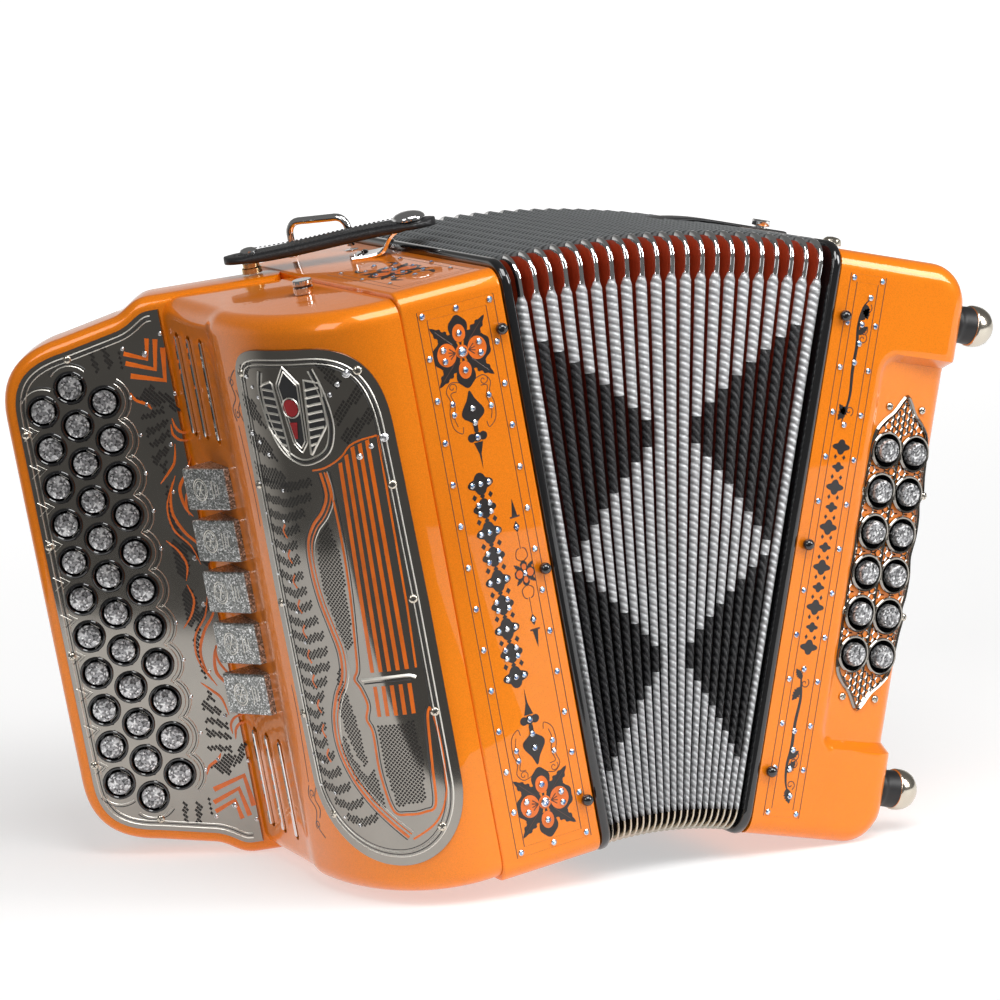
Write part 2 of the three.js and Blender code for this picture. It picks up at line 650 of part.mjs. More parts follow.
function makeBass() {
  const half = new THREE.Group();
  half.add(
    makeBassCasing(),
    makeFrame('bass_bellows_frame', BASS_LEFT - GAP - FRAME_THICK, BASS_LEFT - GAP),
    makeReedBlock('bass_reed_block', BASS_LEFT + 8, BASS_RIGHT - 22, 62, CASE_DEPTH - 56, 5),
    makeHandStrap(),
    makeAirButton(),
    makeBellowsStrap(),
  );
  const recess = new THREE.Group();
  recess.quaternion.setFromRotationMatrix(recessMatrix);
  recess.position.setFromMatrixPosition(recessMatrix);
  recess.add(makeBassPlate(), makeBassRow(0), makeBassRow(1));
  half.add(recess);
  return half;
}

// The halves turn about one line below their bottom edges, half the closed bellows from each
function assemble() {
  const reach = FRAME_FACE + BELLOWS_CLOSED / 2;
  const treblePivot = new THREE.Vector3(TREBLE_RIGHT + reach, 0, -HALF - PIVOT_DROP);
  const bassPivot = new THREE.Vector3(BASS_LEFT - reach, 0, -HALF - PIVOT_DROP);
  const upright = new THREE.Group();
  const treble = makeTreble();
  const bass = makeBass();
  bass.rotation.y = FAN_ANGLE * DEG;
  bassPivot.applyEuler(bass.rotation);
  bass.position.copy(treblePivot).sub(bassPivot);
  const fanDrop = BELLOWS_CLOSED / 2 / Math.tan(FAN_ANGLE / 2 * DEG);
  const bellows = makeBellows(HALF + PIVOT_DROP + fanDrop);
  bellows.position.set(TREBLE_RIGHT + FRAME_FACE, 0, -HALF - PIVOT_DROP - fanDrop);
  upright.add(treble, bass, bellows);
  upright.rotation.y = -TREBLE_LEAN * DEG;
  const accordion = new THREE.Group();
  accordion.add(upright);
  accordion.updateMatrixWorld(true);
  const bounds = new THREE.Box3().setFromObject(accordion, true);
  const middle = bounds.getCenter(new THREE.Vector3());
  upright.position.set(-middle.x, -middle.y, -bounds.min.z);
  accordion.updateMatrixWorld(true);
  return accordion;
}

export default assemble();
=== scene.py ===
import math
import random

import bmesh
import bpy
import numpy as np
from mathutils import Matrix, Vector
from mathutils.geometry import tessellate_polygon


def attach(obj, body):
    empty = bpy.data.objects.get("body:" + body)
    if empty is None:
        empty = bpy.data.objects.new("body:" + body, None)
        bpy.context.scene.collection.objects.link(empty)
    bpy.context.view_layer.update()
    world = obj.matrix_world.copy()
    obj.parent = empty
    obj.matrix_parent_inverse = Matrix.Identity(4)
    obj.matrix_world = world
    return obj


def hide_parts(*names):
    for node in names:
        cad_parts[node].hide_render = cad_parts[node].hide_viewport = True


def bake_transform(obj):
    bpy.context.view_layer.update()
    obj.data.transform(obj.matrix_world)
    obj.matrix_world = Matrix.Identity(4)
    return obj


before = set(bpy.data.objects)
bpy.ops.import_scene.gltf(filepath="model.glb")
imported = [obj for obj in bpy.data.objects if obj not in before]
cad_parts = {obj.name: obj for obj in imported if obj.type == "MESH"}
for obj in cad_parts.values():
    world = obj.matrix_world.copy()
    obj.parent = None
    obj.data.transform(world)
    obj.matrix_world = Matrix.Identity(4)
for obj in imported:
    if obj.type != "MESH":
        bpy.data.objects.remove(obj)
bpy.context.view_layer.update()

MM = 0.001
rng = random.Random(7)


# ---------------------------------------------------------------- frames
def frame_of(node, turn, corner):
    """Local frame of a half: turned about Y, with the node's lowest local corner known in mm."""
    basis = Matrix.Rotation(math.radians(turn), 4, "Y")
    flat = np.array([v.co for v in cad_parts[node].data.vertices]) @ np.array(basis.to_3x3())
    low = flat.min(0) - np.array(corner) * MM
    return Matrix.Translation(basis @ Vector(low)) @ basis


def axes(x, z, origin):
    x, z = Vector(x).normalized(), Vector(z).normalized()
    y = z.cross(x)
    m = Matrix((x, y, z)).transposed().to_4x4()
    m.translation = Vector(origin) * MM
    return m


LEAN, FAN = -8.28, 21.15
T = frame_of("treble_casing", LEAN, (-48.5, 0, -146))
B = frame_of("bass_casing", LEAN + FAN, (-6, 0, -146))
A = math.radians(29.86)
FOOT = 67.98
JOIN = (-106.5, 160)
F = T @ axes((math.cos(A), -math.sin(A), 0), (-math.sin(A), -math.cos(A), 0),
             (JOIN[0] - math.cos(A) * FOOT, JOIN[1] + math.sin(A) * FOOT, 0))
S = math.radians(9)
R = B @ axes((math.cos(S), math.sin(S), 0), (math.sin(S), -math.cos(S), 0), (24, 2.5, 0))
PIVOT_Z = 333.7  # the bellows' virtual hinge lies this far below the halves' middle


# ---------------------------------------------------------------- materials
def nodes_of(name, colour, rough, metal=0.0, coat=0.0, coat_rough=0.03, spec=0.5):
    m = bpy.data.materials.new(name)
    m.use_nodes = True
    p = m.node_tree.nodes["Principled BSDF"]
    p.inputs["Base Color"].default_value = (*colour, 1)
    p.inputs["Roughness"].default_value = rough
    p.inputs["Metallic"].default_value = metal
    p.inputs["Coat Weight"].default_value = coat
    p.inputs["Coat Roughness"].default_value = coat_rough
    p.inputs["Specular IOR Level"].default_value = spec
    return m, p


def add(m, kind, **values):
    node = m.node_tree.nodes.new("ShaderNode" + kind)
    for key, value in values.items():
        if hasattr(node, key):
            setattr(node, key, value)
        else:
            node.inputs[key.replace("_", " ")].default_value = value
    return node


def link(m, a, out, b, into):
    m.node_tree.links.new(a.outputs[out], b.inputs[into])


def noise(m, scale, detail=3.0, stretch=None, uv=False):
    coords = add(m, "TexCoord")
    out = coords.outputs["UV" if uv else "Object"]
    if stretch:
        mapping = add(m, "Mapping")
        mapping.inputs["Scale"].default_value = stretch
        m.node_tree.links.new(out, mapping.inputs["Vector"])
        out = mapping.outputs["Vector"]
    tex = add(m, "TexNoise", Scale=scale, Detail=detail)
    m.node_tree.links.new(out, tex.inputs["Vector"])
    return tex


def ramp(m, source, stops, out="Fac"):
    node = add(m, "ValToRGB")
    while len(node.color_ramp.elements) < len(stops):
        node.color_ramp.elements.new(0.5)
    for element, (at, colour) in zip(node.color_ramp.elements, stops):
        element.position = at
        element.color = (*colour, 1) if len(colour) == 3 else colour
    m.node_tree.links.new(source.outputs[out], node.inputs["Fac"])
    return node


def bump(m, p, source, out, strength, distance):
    node = add(m, "Bump")
    node.inputs["Strength"].default_value = strength
    node.inputs["Distance"].default_value = distance
    link(m, source, out, node, "Height")
    link(m, node, "Normal", p, "Normal")
    return node


def roughness_from(m, p, source, low, high):
    """Roughness follows a cloud between two values."""
    rough = add(m, "MapRange")
    rough.inputs["To Min"].default_value = low
    rough.inputs["To Max"].default_value = high
    link(m, source, "Fac", rough, "Value")
    link(m, rough, "Result", p, "Roughness")


def cells_at(m, scale):
    cells = add(m, "TexVoronoi", Scale=scale)
    link(m, add(m, "TexCoord"), "Object", cells, "Vector")
    return cells


def lacquer():
    m, p = nodes_of("orange_lacquer", (0.85, 0.24, 0.006), 0.33, 0.2, 0.9, 0.02, 0.15)
    cloud = noise(m, 9, 4)
    tint = ramp(m, cloud, [(0.3, (0.83, 0.205, 0.003)), (0.7, (0.92, 0.245, 0.006))])
    flake = cells_at(m, 2600.0)
    glint = ramp(m, flake, [(0.0, (0.88, 0.88, 0.88)), (1.0, (1.1, 1.08, 1.04))], "Color")
    mix = add(m, "Mix", data_type="RGBA", blend_type="MULTIPLY")
    mix.inputs["Factor"].default_value = 1
    link(m, tint, "Color", mix, 6)
    link(m, glint, "Color", mix, 7)
    link(m, mix, 2, p, "Base Color")
    roughness_from(m, p, noise(m, 160, 5), 0.26, 0.4)
    return m


def chrome(name, colour, low, high):
    m, p = nodes_of(name, colour, low, 1.0)
    cloud = noise(m, 45, 6)
    tint = ramp(m, cloud, [(0.25, tuple(c * 0.88 for c in colour)), (0.8, colour)])
    link(m, tint, "Color", p, "Base Color")
    roughness_from(m, p, cloud, low, high)
    return m


def paint(name, colour, rough, coat=0.0):
    m, p = nodes_of(name, colour, rough, 0.0, coat)
    cloud = noise(m, 120, 5)
    tint = ramp(m, cloud, [(0.3, tuple(c * 0.75 for c in colour)), (0.75, colour)])
    link(m, tint, "Color", p, "Base Color")
    bump(m, p, cloud, "Fac", 0.05, 0.0004)
    return m


def glitter(name, scale, dark, bright):
    m, p = nodes_of(name, bright, 0.3, 0.75, 0.6)
    cells = cells_at(m, scale)
    tint = ramp(m, cells, [(0.05, dark), (0.42, tuple((a + b) / 2 for a, b in zip(dark, bright))),
                           (0.62, bright), (0.9, (1, 1, 1))], "Color")
    link(m, tint, "Color", p, "Base Color")
    bump(m, p, cells, "Color", 0.7, 0.0004)
    return m


def tape(name, dark, bright, rough, metal, twist, pitch):
    """Braided bellows tape: UV.x runs along the fold in mm, UV.y across it from -1 to 1."""
    m, p = nodes_of(name, bright, rough, metal)
    coords = add(m, "TexCoord")
    mapping = add(m, "Mapping")
    mapping.inputs["Scale"].default_value = (1 / pitch, twist, 1)
    link(m, coords, "UV", mapping, "Vector")
    wave = add(m, "TexWave", wave_type="BANDS", bands_direction="DIAGONAL", Scale=0.3183)
    wave.inputs["Distortion"].default_value = 0.6
    wave.inputs["Detail"].default_value = 1.0
    link(m, mapping, "Vector", wave, "Vector")
    fine = noise(m, 5.0, 2, (1.0, 8.0, 1.0), uv=True)
    mixed = add(m, "Math", operation="MULTIPLY_ADD")
    mixed.inputs[1].default_value = 0.35
    link(m, fine, "Fac", mixed, 0)
    link(m, wave, "Fac", mixed, 2)
    tint = ramp(m, mixed, [(0.15, dark), (0.75, bright)], "Value")
    link(m, tint, "Color", p, "Base Color")
    bump(m, p, mixed, "Value", 0.8, 0.0006)
    return m


def card():
    """Bellows card between the tapes: UV.x is the way round the fold in mm from the lower front corner."""
    m, p = nodes_of("red_card", (0.3, 0.03, 0.008), 0.4, 0.0, 0.3)
    coords = add(m, "TexCoord")
    split = add(m, "SeparateXYZ")
    link(m, coords, "UV", split, "Vector")
    cloud = noise(m, 0.06, 4, uv=True)
    shift = add(m, "Math", operation="MULTIPLY_ADD")
    shift.inputs[1].default_value = 60
    link(m, cloud, "Fac", shift, 0)
    link(m, split, "X", shift, 2)
    scaled = add(m, "Math", operation="DIVIDE")
    scaled.inputs[1].default_value = 400
    link(m, shift, "Value", scaled, 0)
    tint = ramp(m, scaled, [(0.0, (0.006, 0.005, 0.005)), (0.32, (0.008, 0.005, 0.005)),
                            (0.62, (0.12, 0.012, 0.005)), (0.76, (0.30, 0.030, 0.007)),
                            (0.84, (0.38, 0.040, 0.009)), (0.88, (0.01, 0.006, 0.006))], "Value")
    link(m, tint, "Color", p, "Base Color")
    return m


def leather():
    m, p = nodes_of("black_leather", (0.012, 0.012, 0.013), 0.42)
    bump(m, p, cells_at(m, 900.0), "Distance", 0.35, 0.0004)
    roughness_from(m, p, noise(m, 60, 5), 0.32, 0.62)
    return m


def crystal(name, tints):
    """Cut stones: each facet cell takes one of a few cold tints."""
    m, p = nodes_of(name, (0.9, 0.95, 1), 0.08, 0.6, 1.0)
    cells = cells_at(m, 900.0)
    tint = ramp(m, cells, [(i / (len(tints) - 1), c) for i, c in enumerate(tints)], "Color")
    tint.color_ramp.interpolation = "CONSTANT"
    link(m, tint, "Color", p, "Base Color")
    return m


ORANGE = lacquer()
PLATE = chrome("engraved_chrome", (0.37, 0.345, 0.31), 0.06, 0.13)
CHROME = chrome("polished_chrome", (0.86, 0.86, 0.86), 0.03, 0.09)
NICKEL = chrome("warm_nickel", (0.72, 0.66, 0.56), 0.12, 0.25)
CUT_BRIGHT = chrome("engraving_bright", (0.9, 0.87, 0.8), 0.3, 0.5)
# dark for the engraved lines, and painted shade for the screw slots
CUT_DARK_AND_SLOT_SHADE = paint("engraving_dark_and_slot_shade", (0.03, 0.03, 0.032), 0.35)
BLACK = paint("black_gloss", (0.008, 0.008, 0.009), 0.12, 0.8)
INK = paint("black_print", (0.012, 0.008, 0.008), 0.4, 0.5)
LINE = paint("brown_print", (0.10, 0.03, 0.012), 0.45, 0.4)
CUTOUT = paint("orange_inlay", (0.88, 0.17, 0.006), 0.35, 0.5)
# dark paint for holes and slot bottoms: painted shade of their insides
HOLE_SHADE = paint("painted_hole_shade", (0.012, 0.009, 0.007), 0.6)
SILVER_TAPE = tape("silver_tape", (0.33, 0.33, 0.34), (0.62, 0.63, 0.64), 0.3, 0.6, 0.6, 1.8)
BLACK_TAPE = tape("black_tape", (0.003, 0.003, 0.004), (0.028, 0.028, 0.03), 0.22, 0.1, 1.3, 2.2)
GREY_TAPE = tape("grey_tape", (0.05, 0.055, 0.058), (0.22, 0.23, 0.235), 0.5, 0.25, 2.4, 2.0)
RED_CARD = card()
LEATHER = leather()
THREAD = paint("black_thread", (0.03, 0.03, 0.032), 0.6)
GLITTER = glitter("coarse_glitter", 1050, (0.02, 0.02, 0.022), (0.42, 0.42, 0.43))
FINE_GLITTER = glitter("fine_glitter", 1500, (0.10, 0.105, 0.10), (0.33, 0.34, 0.33))
STONE = crystal("rhinestone", [(0.95, 0.97, 1), (0.25, 0.5, 0.85), (0.85, 0.9, 1), (0.08, 0.16, 0.4),
                               (0.7, 0.9, 0.95), (0.95, 0.85, 1)])
CLEAR_STONE = crystal("clear_stone", [(0.9, 0.9, 0.9), (0.3, 0.3, 0.32), (1, 1, 1), (0.6, 0.6, 0.63),
                                      (0.12, 0.12, 0.13)])
SETTING = chrome("stone_setting", (0.9, 0.9, 0.92), 0.1, 0.2)
BRASS = chrome("brass_spacer", (0.75, 0.6, 0.33), 0.15, 0.3)
RUBBER = paint("black_rubber", (0.012, 0.012, 0.013), 0.45)
ENAMEL = paint("red_enamel", (0.42, 0.02, 0.025), 0.25, 0.8)


# ---------------------------------------------------------------- mesh helpers
def make(name, verts, faces, matrix, material, body, index=None, uv=None, sharp=35):
    mesh = bpy.data.meshes.new(name)
    mesh.from_pydata([tuple(float(c) * MM for c in v) for v in verts], [], faces)
    mesh.update()
    for m in material if isinstance(material, (list, tuple)) else [material]:
        mesh.materials.append(m)
    if index is not None:
        mesh.polygons.foreach_set("material_index", index)
    if uv is not None:
        layer = mesh.uv_layers.new(name="UVMap")
        loops = np.zeros(len(mesh.loops), int)
        mesh.loops.foreach_get("vertex_index", loops)
        layer.data.foreach_set("uv", np.array(uv, float)[loops].ravel())
    mesh.polygons.foreach_set("use_smooth", [True] * len(mesh.polygons))
    mesh.set_sharp_from_angle(angle=math.radians(sharp))
    obj = bpy.data.objects.new(name, mesh)
    bpy.context.scene.collection.objects.link(obj)
    obj.matrix_world = matrix
    if body:
        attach(obj, body)
    return obj


def skin(rings, closed=True, caps=True, wrap=False):
    n = len(rings[0])
    verts = [p for ring in rings for p in ring]
    faces = []
    last = len(rings) if wrap else len(rings) - 1
    for k in range(last):
        a, b = k * n, (k + 1) % len(rings) * n
        for i in range(n if closed else n - 1):
            j = (i + 1) % n
            faces.append((a + i, a + j, b + j, b + i))
    if caps and not wrap:
        faces.append(tuple(range(n))[::-1])
        faces.append(tuple(range(len(verts) - n, len(verts))))
    return verts, faces


def turn_out(obj):
    """Face normals point out of the piece."""
    bm = bmesh.new()
    bm.from_mesh(obj.data)
    bmesh.ops.recalc_face_normals(bm, faces=bm.faces)
    bm.to_mesh(obj.data)
    bm.free()
    return obj


def hull(name, rings, matrix, material, body, slot, sharp=35, **kind):
    verts, faces = skin(rings, **kind)
    return turn_out(make(name, verts, faces, matrix, material, body, sharp=sharp))


def circle(x, y, r, h, n):
    return [(x + r * math.cos(2 * math.pi * k / n), y + r * math.sin(2 * math.pi * k / n), h) for k in range(n)]


def pillow_section(n, across, through_it):
    """Half-size section of a flat strap: a lower power gives squarer sides."""
    turns = [2 * math.pi * k / n for k in range(n)]
    return [(math.copysign(abs(math.cos(a)) ** across, math.cos(a)),
             math.copysign(abs(math.sin(a)) ** through_it, math.sin(a))) for a in turns]


class Heap:
    """Collects many small shapes of one material and turns them into one mesh."""

    def __init__(self):
        self.verts, self.faces, self.index = [], [], []

    def put(self, verts, faces, material=0):
        base = len(self.verts)
        self.verts += verts
        self.faces += [tuple(base + i for i in f) for f in faces]
        self.index += [material] * len(faces)

    def skin(self, rings, material=0, **kind):
        self.put(*skin(rings, **kind), material)

    def done(self, name, matrix, material, body, slot, sharp=35):
        return turn_out(make(name, self.verts, self.faces, matrix, material, body, self.index, sharp=sharp))


def arc(cx, cy, r, a0, a1, n):
    return [(cx + r * math.cos(math.radians(a0 + (a1 - a0) * i / n)),
             cy + r * math.sin(math.radians(a0 + (a1 - a0) * i / n))) for i in range(n + 1)]


def rounded(x0, x1, y0, y1, r, n=10):
    r = max(r, 0.05)
    return (arc(x1 - r, y0 + r, r, -90, 0, n) + arc(x1 - r, y1 - r, r, 0, 90, n)
            + arc(x0 + r, y1 - r, r, 90, 180, n) + arc(x0 + r, y0 + r, r, 180, 270, n))


def bezier(p0, p1, p2, p3, n):
    out = []
    for i in range(n + 1):
        t = i / n
        out.append(tuple((1 - t) ** 3 * a + 3 * (1 - t) ** 2 * t * b + 3 * (1 - t) * t * t * c + t ** 3 * d
                         for a, b, c, d in zip(p0, p1, p2, p3)))
    return out


def at(x, y, z):
    """Placement that only moves a shape to x, y, z."""
    return lambda u, v, h: (x + u, y + v, z + h)


def through(points, n=8, closed=False):
    """Smooth curve through points (Catmull-Rom)."""
    p = list(points)
    ext = [p[-1], *p, p[0], p[1]] if closed else [p[0], *p, p[-1]]
    out = []
    for i in range(1, len(ext) - 2):
        a, b, c, d = (np.array(ext[i + k]) for k in (-1, 0, 1, 2))
        for k in range(n):
            t = k / n
            out.append(tuple(0.5 * (2 * b + (c - a) * t + (2 * a - 5 * b + 4 * c - d) * t * t
                                    + (3 * b - a - 3 * c + d) * t ** 3)))
    if not closed:
        out.append(tuple(p[-1]))
    return out


def inset(points, d):
    """Closed outline moved inwards; points run counter-clockwise."""
    p = np.array(points, float)
    keep = np.linalg.norm(p - np.roll(p, 1, 0), axis=1) > 1e-6
    p = p[keep] if not keep.all() else p
    before, after = p - np.roll(p, 1, 0), np.roll(p, -1, 0) - p
    before /= np.linalg.norm(before, axis=1)[:, None]
    after /= np.linalg.norm(after, axis=1)[:, None]
    normal = np.stack([-(before + after)[:, 1], (before + after)[:, 0]], 1)
    length = np.linalg.norm(normal, axis=1)[:, None]
    normal /= np.maximum(length, 1e-6)
    half = np.maximum((normal * np.stack([-before[:, 1], before[:, 0]], 1)).sum(1), 0.5)[:, None]
    return [tuple(q) for q in p + normal * d / half]


def clean(points):
    out = [points[0]]
    for p in points[1:]:
        if math.dist(p, out[-1]) > 1e-3:
            out.append(p)
    if math.dist(out[0], out[-1]) < 1e-3:
        out.pop()
    return out


def inside(p, poly):
    x, y = p
    hit = False
    for (x0, y0), (x1, y1) in zip(poly, poly[1:] + poly[:1]):
        if (y0 > y) != (y1 > y) and x < (x1 - x0) * (y - y0) / (y1 - y0) + x0:
            hit = not hit
    return hit


# Surfaces that ornament is laid on: (u, v, height) to a point in the local frame
def panel(u, v, h):
    return (u, -h, v)


def flat(u, v, h):
    return (u, v, h)


def stroke(heap, place, points, width, height=0.14, base=0.0, closed=False, material=0):
    p = np.array(points, float)
    n = len(p)
    w = np.broadcast_to(np.array(width, float), (n,)) / 2
    if closed:
        tangent = np.roll(p, -1, 0) - np.roll(p, 1, 0)
    else:
        tangent = np.gradient(p, axis=0)
    tangent /= np.maximum(np.linalg.norm(tangent, axis=1)[:, None], 1e-9)
    side = np.stack([-tangent[:, 1], tangent[:, 0]], 1) * w[:, None]
    verts = []
    for q, s in zip(p, side):
        verts += [place(*(q + s), base), place(*q, base + height), place(*(q - s), base)]
    faces = []
    for i in range(n if closed else n - 1):
        a, b = 3 * i, 3 * ((i + 1) % n)
        faces += [(a, b, b + 1, a + 1), (a + 1, b + 1, b + 2, a + 2)]
    heap.put(verts, faces, material)


def fill(heap, place, loops, height=0.1, step=None, material=0):
    loops = [[Vector((x, y, 0)) for x, y in loop] for loop in loops]
    flat_points = [p for loop in loops for p in loop]
    bm = bmesh.new()
    made = [bm.verts.new(p) for p in flat_points]
    for tri in tessellate_polygon(loops):
        try:
            bm.faces.new([made[i] for i in tri])
        except ValueError:
            pass
    if step:
        low = min(p.x for p in flat_points)
        high = max(p.x for p in flat_points)
        x = low + step
        while x < high:
            bmesh.ops.bisect_plane(bm, geom=bm.verts[:] + bm.edges[:] + bm.faces[:], plane_co=(x, 0, 0),
                                   plane_no=(1, 0, 0))
            x += step
    bm.verts.index_update()
    heap.put([place(v.co.x, v.co.y, height) for v in bm.verts],
             [tuple(v.index for v in f.verts) for f in bm.faces], material)
    bm.free()


def pierce(heap, place, poly, pitch_u, pitch_v, size, height, margin, side_shadow=False):
    """Small dark diamonds on a lattice inside an outline, painted shade standing for holes, each widened on one side by
    a strip of painted shadow when asked.
    """
    sides = 4
    ring = [(math.cos(2 * math.pi * k / sides), math.sin(2 * math.pi * k / sides)) for k in range(sides)]

    def corner(u, v, x, y, share, h):
        return place(u + x * pitch_u * share, v + y * pitch_v * share, h)

    xs, ys = [p[0] for p in poly], [p[1] for p in poly]
    cx, cy = (min(xs) + max(xs)) / 2, (min(ys) + max(ys)) / 2
    reach = math.hypot(max(xs) - min(xs), max(ys) - min(ys)) / 2
    rows = int(reach / pitch_v) * 2 + 2
    cols = int(reach / pitch_u) + 2
    for j in range(-rows, rows + 1):
        for i in range(-cols, cols + 1):
            u, v = cx + (i + (j % 2) / 2) * pitch_u, cy + j * pitch_v / 2
            if not (inside((u, v), poly) and inside((u + margin, v), poly) and inside((u - margin, v), poly)
                    and inside((u, v + margin), poly) and inside((u, v - margin), poly)):
                continue
            # each dark diamond is painted shade laid on the plate where a hole would show the dark inside
            heap.put([corner(u, v, x, y, size / 2, height) for x, y in ring], [tuple(range(sides))])
            # a dark strip along one side of the diamond: painted shadow of the hole's edge
            if side_shadow:
                shadow_strip = [corner(u, v, x, y, size * far, height - 0.02) for far in (0.5, 0.66) for x, y in ring[1:3]]
                heap.put(shadow_strip, [(0, 1, 3, 2)])


def gem(heap, place, u, v, r, height=0.0):
    """A round setting (material 1) with a cut stone (material 0) that has a flat table."""
    n = 10
    ring = [(math.cos(2 * math.pi * k / n), math.sin(2 * math.pi * k / n)) for k in range(n)]
    levels = [(1.0, 0.0), (1.0, 0.35), (0.8, 0.5)]
    verts = [place(u + x * r * f, v + y * r * f, height + r * h) for f, h in levels for x, y in ring]
    faces = [(a * n + i, a * n + (i + 1) % n, (a + 1) * n + (i + 1) % n, (a + 1) * n + i)
             for a in range(2) for i in range(n)]
    heap.put(verts, faces, 1)
    m = 8
    ring = [(math.cos(2 * math.pi * (k + 0.5) / m), math.sin(2 * math.pi * (k + 0.5) / m)) for k in range(m)]
    verts = [place(u + x * r * f, v + y * r * f, height + r * h)
             for f, h in [(0.78, 0.45), (0.42, 0.8)] for x, y in ring]
    heap.put(verts, [(i, (i + 1) % m, m + (i + 1) % m, m + i) for i in range(m)] + [tuple(range(m, 2 * m))], 0)


def dome(heap, place, u, v, r, height=0.0, rise=0.55, material=0, n=14):
    levels = [(math.cos(a), math.sin(a)) for a in [math.pi / 2 * k / 5 for k in range(5)]]
    verts = [place(u + math.cos(2 * math.pi * k / n) * r * f, v + math.sin(2 * math.pi * k / n) * r * f,
                   height + r * rise * h) for f, h in levels for k in range(n)]
    verts.append(place(u, v, height + r * rise))
    faces = [(a * n + i, a * n + (i + 1) % n, (a + 1) * n + (i + 1) % n, (a + 1) * n + i)
             for a in range(len(levels) - 1) for i in range(n)]
    top = (len(levels) - 1) * n
    faces += [(top + i, top + (i + 1) % n, len(verts) - 1) for i in range(n)]
    heap.put(verts, faces, material)


def screw(heap, place, u, v, r, height=0.0):
    """A domed screw head with a crossed slot: metal is material 0, and the slot is a flat dark cross of painted shade,
    material 1.
    """
    dome(heap, place, u, v, r, height, 0.5)
    # the slot is not cut: a flat dark cross laid on the dome is painted shade of the slot
    a = rng.uniform(0, math.pi)
    for turn in (a, a + math.pi / 2):
        d = (math.cos(turn) * r * 0.55, math.sin(turn) * r * 0.55)
        n = (-math.sin(turn) * r * 0.09, math.cos(turn) * r * 0.09)
        h = height + r * 0.51
        verts = [place(u + x, v + y, h) for x, y in ((d[0] + n[0], d[1] + n[1]), (-d[0] + n[0], -d[1] + n[1]),
                                                     (-d[0] - n[0], -d[1] - n[1]), (d[0] - n[0], d[1] - n[1]))]
        heap.put(verts, [(0, 1, 2, 3)], 1)


def lathe(profile, n):
    """Rings for a profile of (radius, height) about local Z."""
    return [circle(0, 0, r, h, n) for r, h in profile]


def put_lathe(heap, profile, place, n=24, material=0):
    heap.skin([[place(*v) for v in ring] for ring in lathe(profile, n)], material)


def carve(obj, *cutters):
    for cutter in cutters:
        mod = obj.modifiers.new("cut", "BOOLEAN")
        mod.object = cutter
        mod.operation = "DIFFERENCE"
        mod.solver = "EXACT"
    bpy.context.view_layer.update()
    graph = bpy.context.evaluated_depsgraph_get()
    mesh = bpy.data.meshes.new_from_object(obj.evaluated_get(graph))
    obj.modifiers.clear()
    old = obj.data
    obj.data = mesh
    mesh.name = old.name
    mesh.polygons.foreach_set("use_smooth", [True] * len(mesh.polygons))
    mesh.set_sharp_from_angle(angle=math.radians(35))
    for cutter in cutters:
        bpy.data.objects.remove(cutter)
    return obj


# ---------------------------------------------------------------- treble casing and cover
HALF = 146.0


DEPTH = 184.0
TREBLE_LEFT, TREBLE_RIGHT, EDGE_ROUND, CORNER = -48.5, 5, 1.6, 9
levels = []
for k in range(7):
    a = math.pi / 2 * (6 - k) / 6
    levels.append((TREBLE_LEFT + EDGE_ROUND * (1 - math.sin(a)), EDGE_ROUND * (1 - math.cos(a))))
levels += [(TREBLE_RIGHT - (x - TREBLE_LEFT), i) for x, i in reversed(levels)]
rings = [[(x, y, z) for y, z in rounded(i, DEPTH - i, -HALF + i, HALF - i, CORNER - i, 12)] for x, i in levels]
casing = hull("treble_casing_shell", rings, T, ORANGE, "treble", "orange_lacquer")
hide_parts("treble_casing", "treble_reed_block")


def plan_line(n):
    """The cover's bulge in plan, from the casing's front edge to the ridge."""
    return bezier((-54.8, 0), (-79.8, 0), (-108.3, 25), (-110.8, 83), n)


def offset_open(points, d):
    p = np.array(points, float)
    t = np.gradient(p, axis=0)
    t /= np.linalg.norm(t, axis=1)[:, None]
    return [tuple(q) for q in p + np.stack([t[:, 1], -t[:, 0]], 1) * d]


def cover_section(d):
    """The cover's plan, moved in by d from its outside."""
    line = offset_open([(-48.8, 0.0)] + plan_line(36), d)
    line[0] = (-48.8, line[0][1])
    wall = offset_open([(-110.8, 85.0), (-110.2, 90.0), (-108.9, 95.0), (-108.3, 100.0), (-107.6, 115.0),
                        (-107.1, 135.0), (-106.7, 152.0), (-106.5, 160.0)], d)
    return line + wall + [(-80.0, 145.0), (-48.8, 127.0)]


def cover_rings():
    top, r = 143.5, 10.0
    bend = [(top - r + r * math.sin(a), r * (1 - math.cos(a))) for a in [math.pi / 2 * k / 8 for k in range(9)]]
    levels = [(-z, d) for z, d in reversed(bend)] + [(-60.0, 0.0), (0.0, 0.0), (60.0, 0.0)] + bend
    return [[(x, y, z) for x, y in cover_section(d)] for z, d in levels]


cover = hull("treble_cover_shell", cover_rings(), T, ORANGE, None, "orange_lacquer", 32)
SLOT_Y = (144, 128, 111)
slots = Heap()
for y in SLOT_Y:
    for side in (1, -1):
        outline = rounded(y - 2.5, y + 2.5, side * 102 - 26.5, side * 102 + 26.5, 2.4, 6)
        slots.skin([[(x, u, v) for u, v in outline] for x in (-130, -103.5)])
carve(cover, slots.done("slot_cutter", T, HOLE_SHADE, None, None))
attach(cover, "treble")
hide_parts("treble_cover")

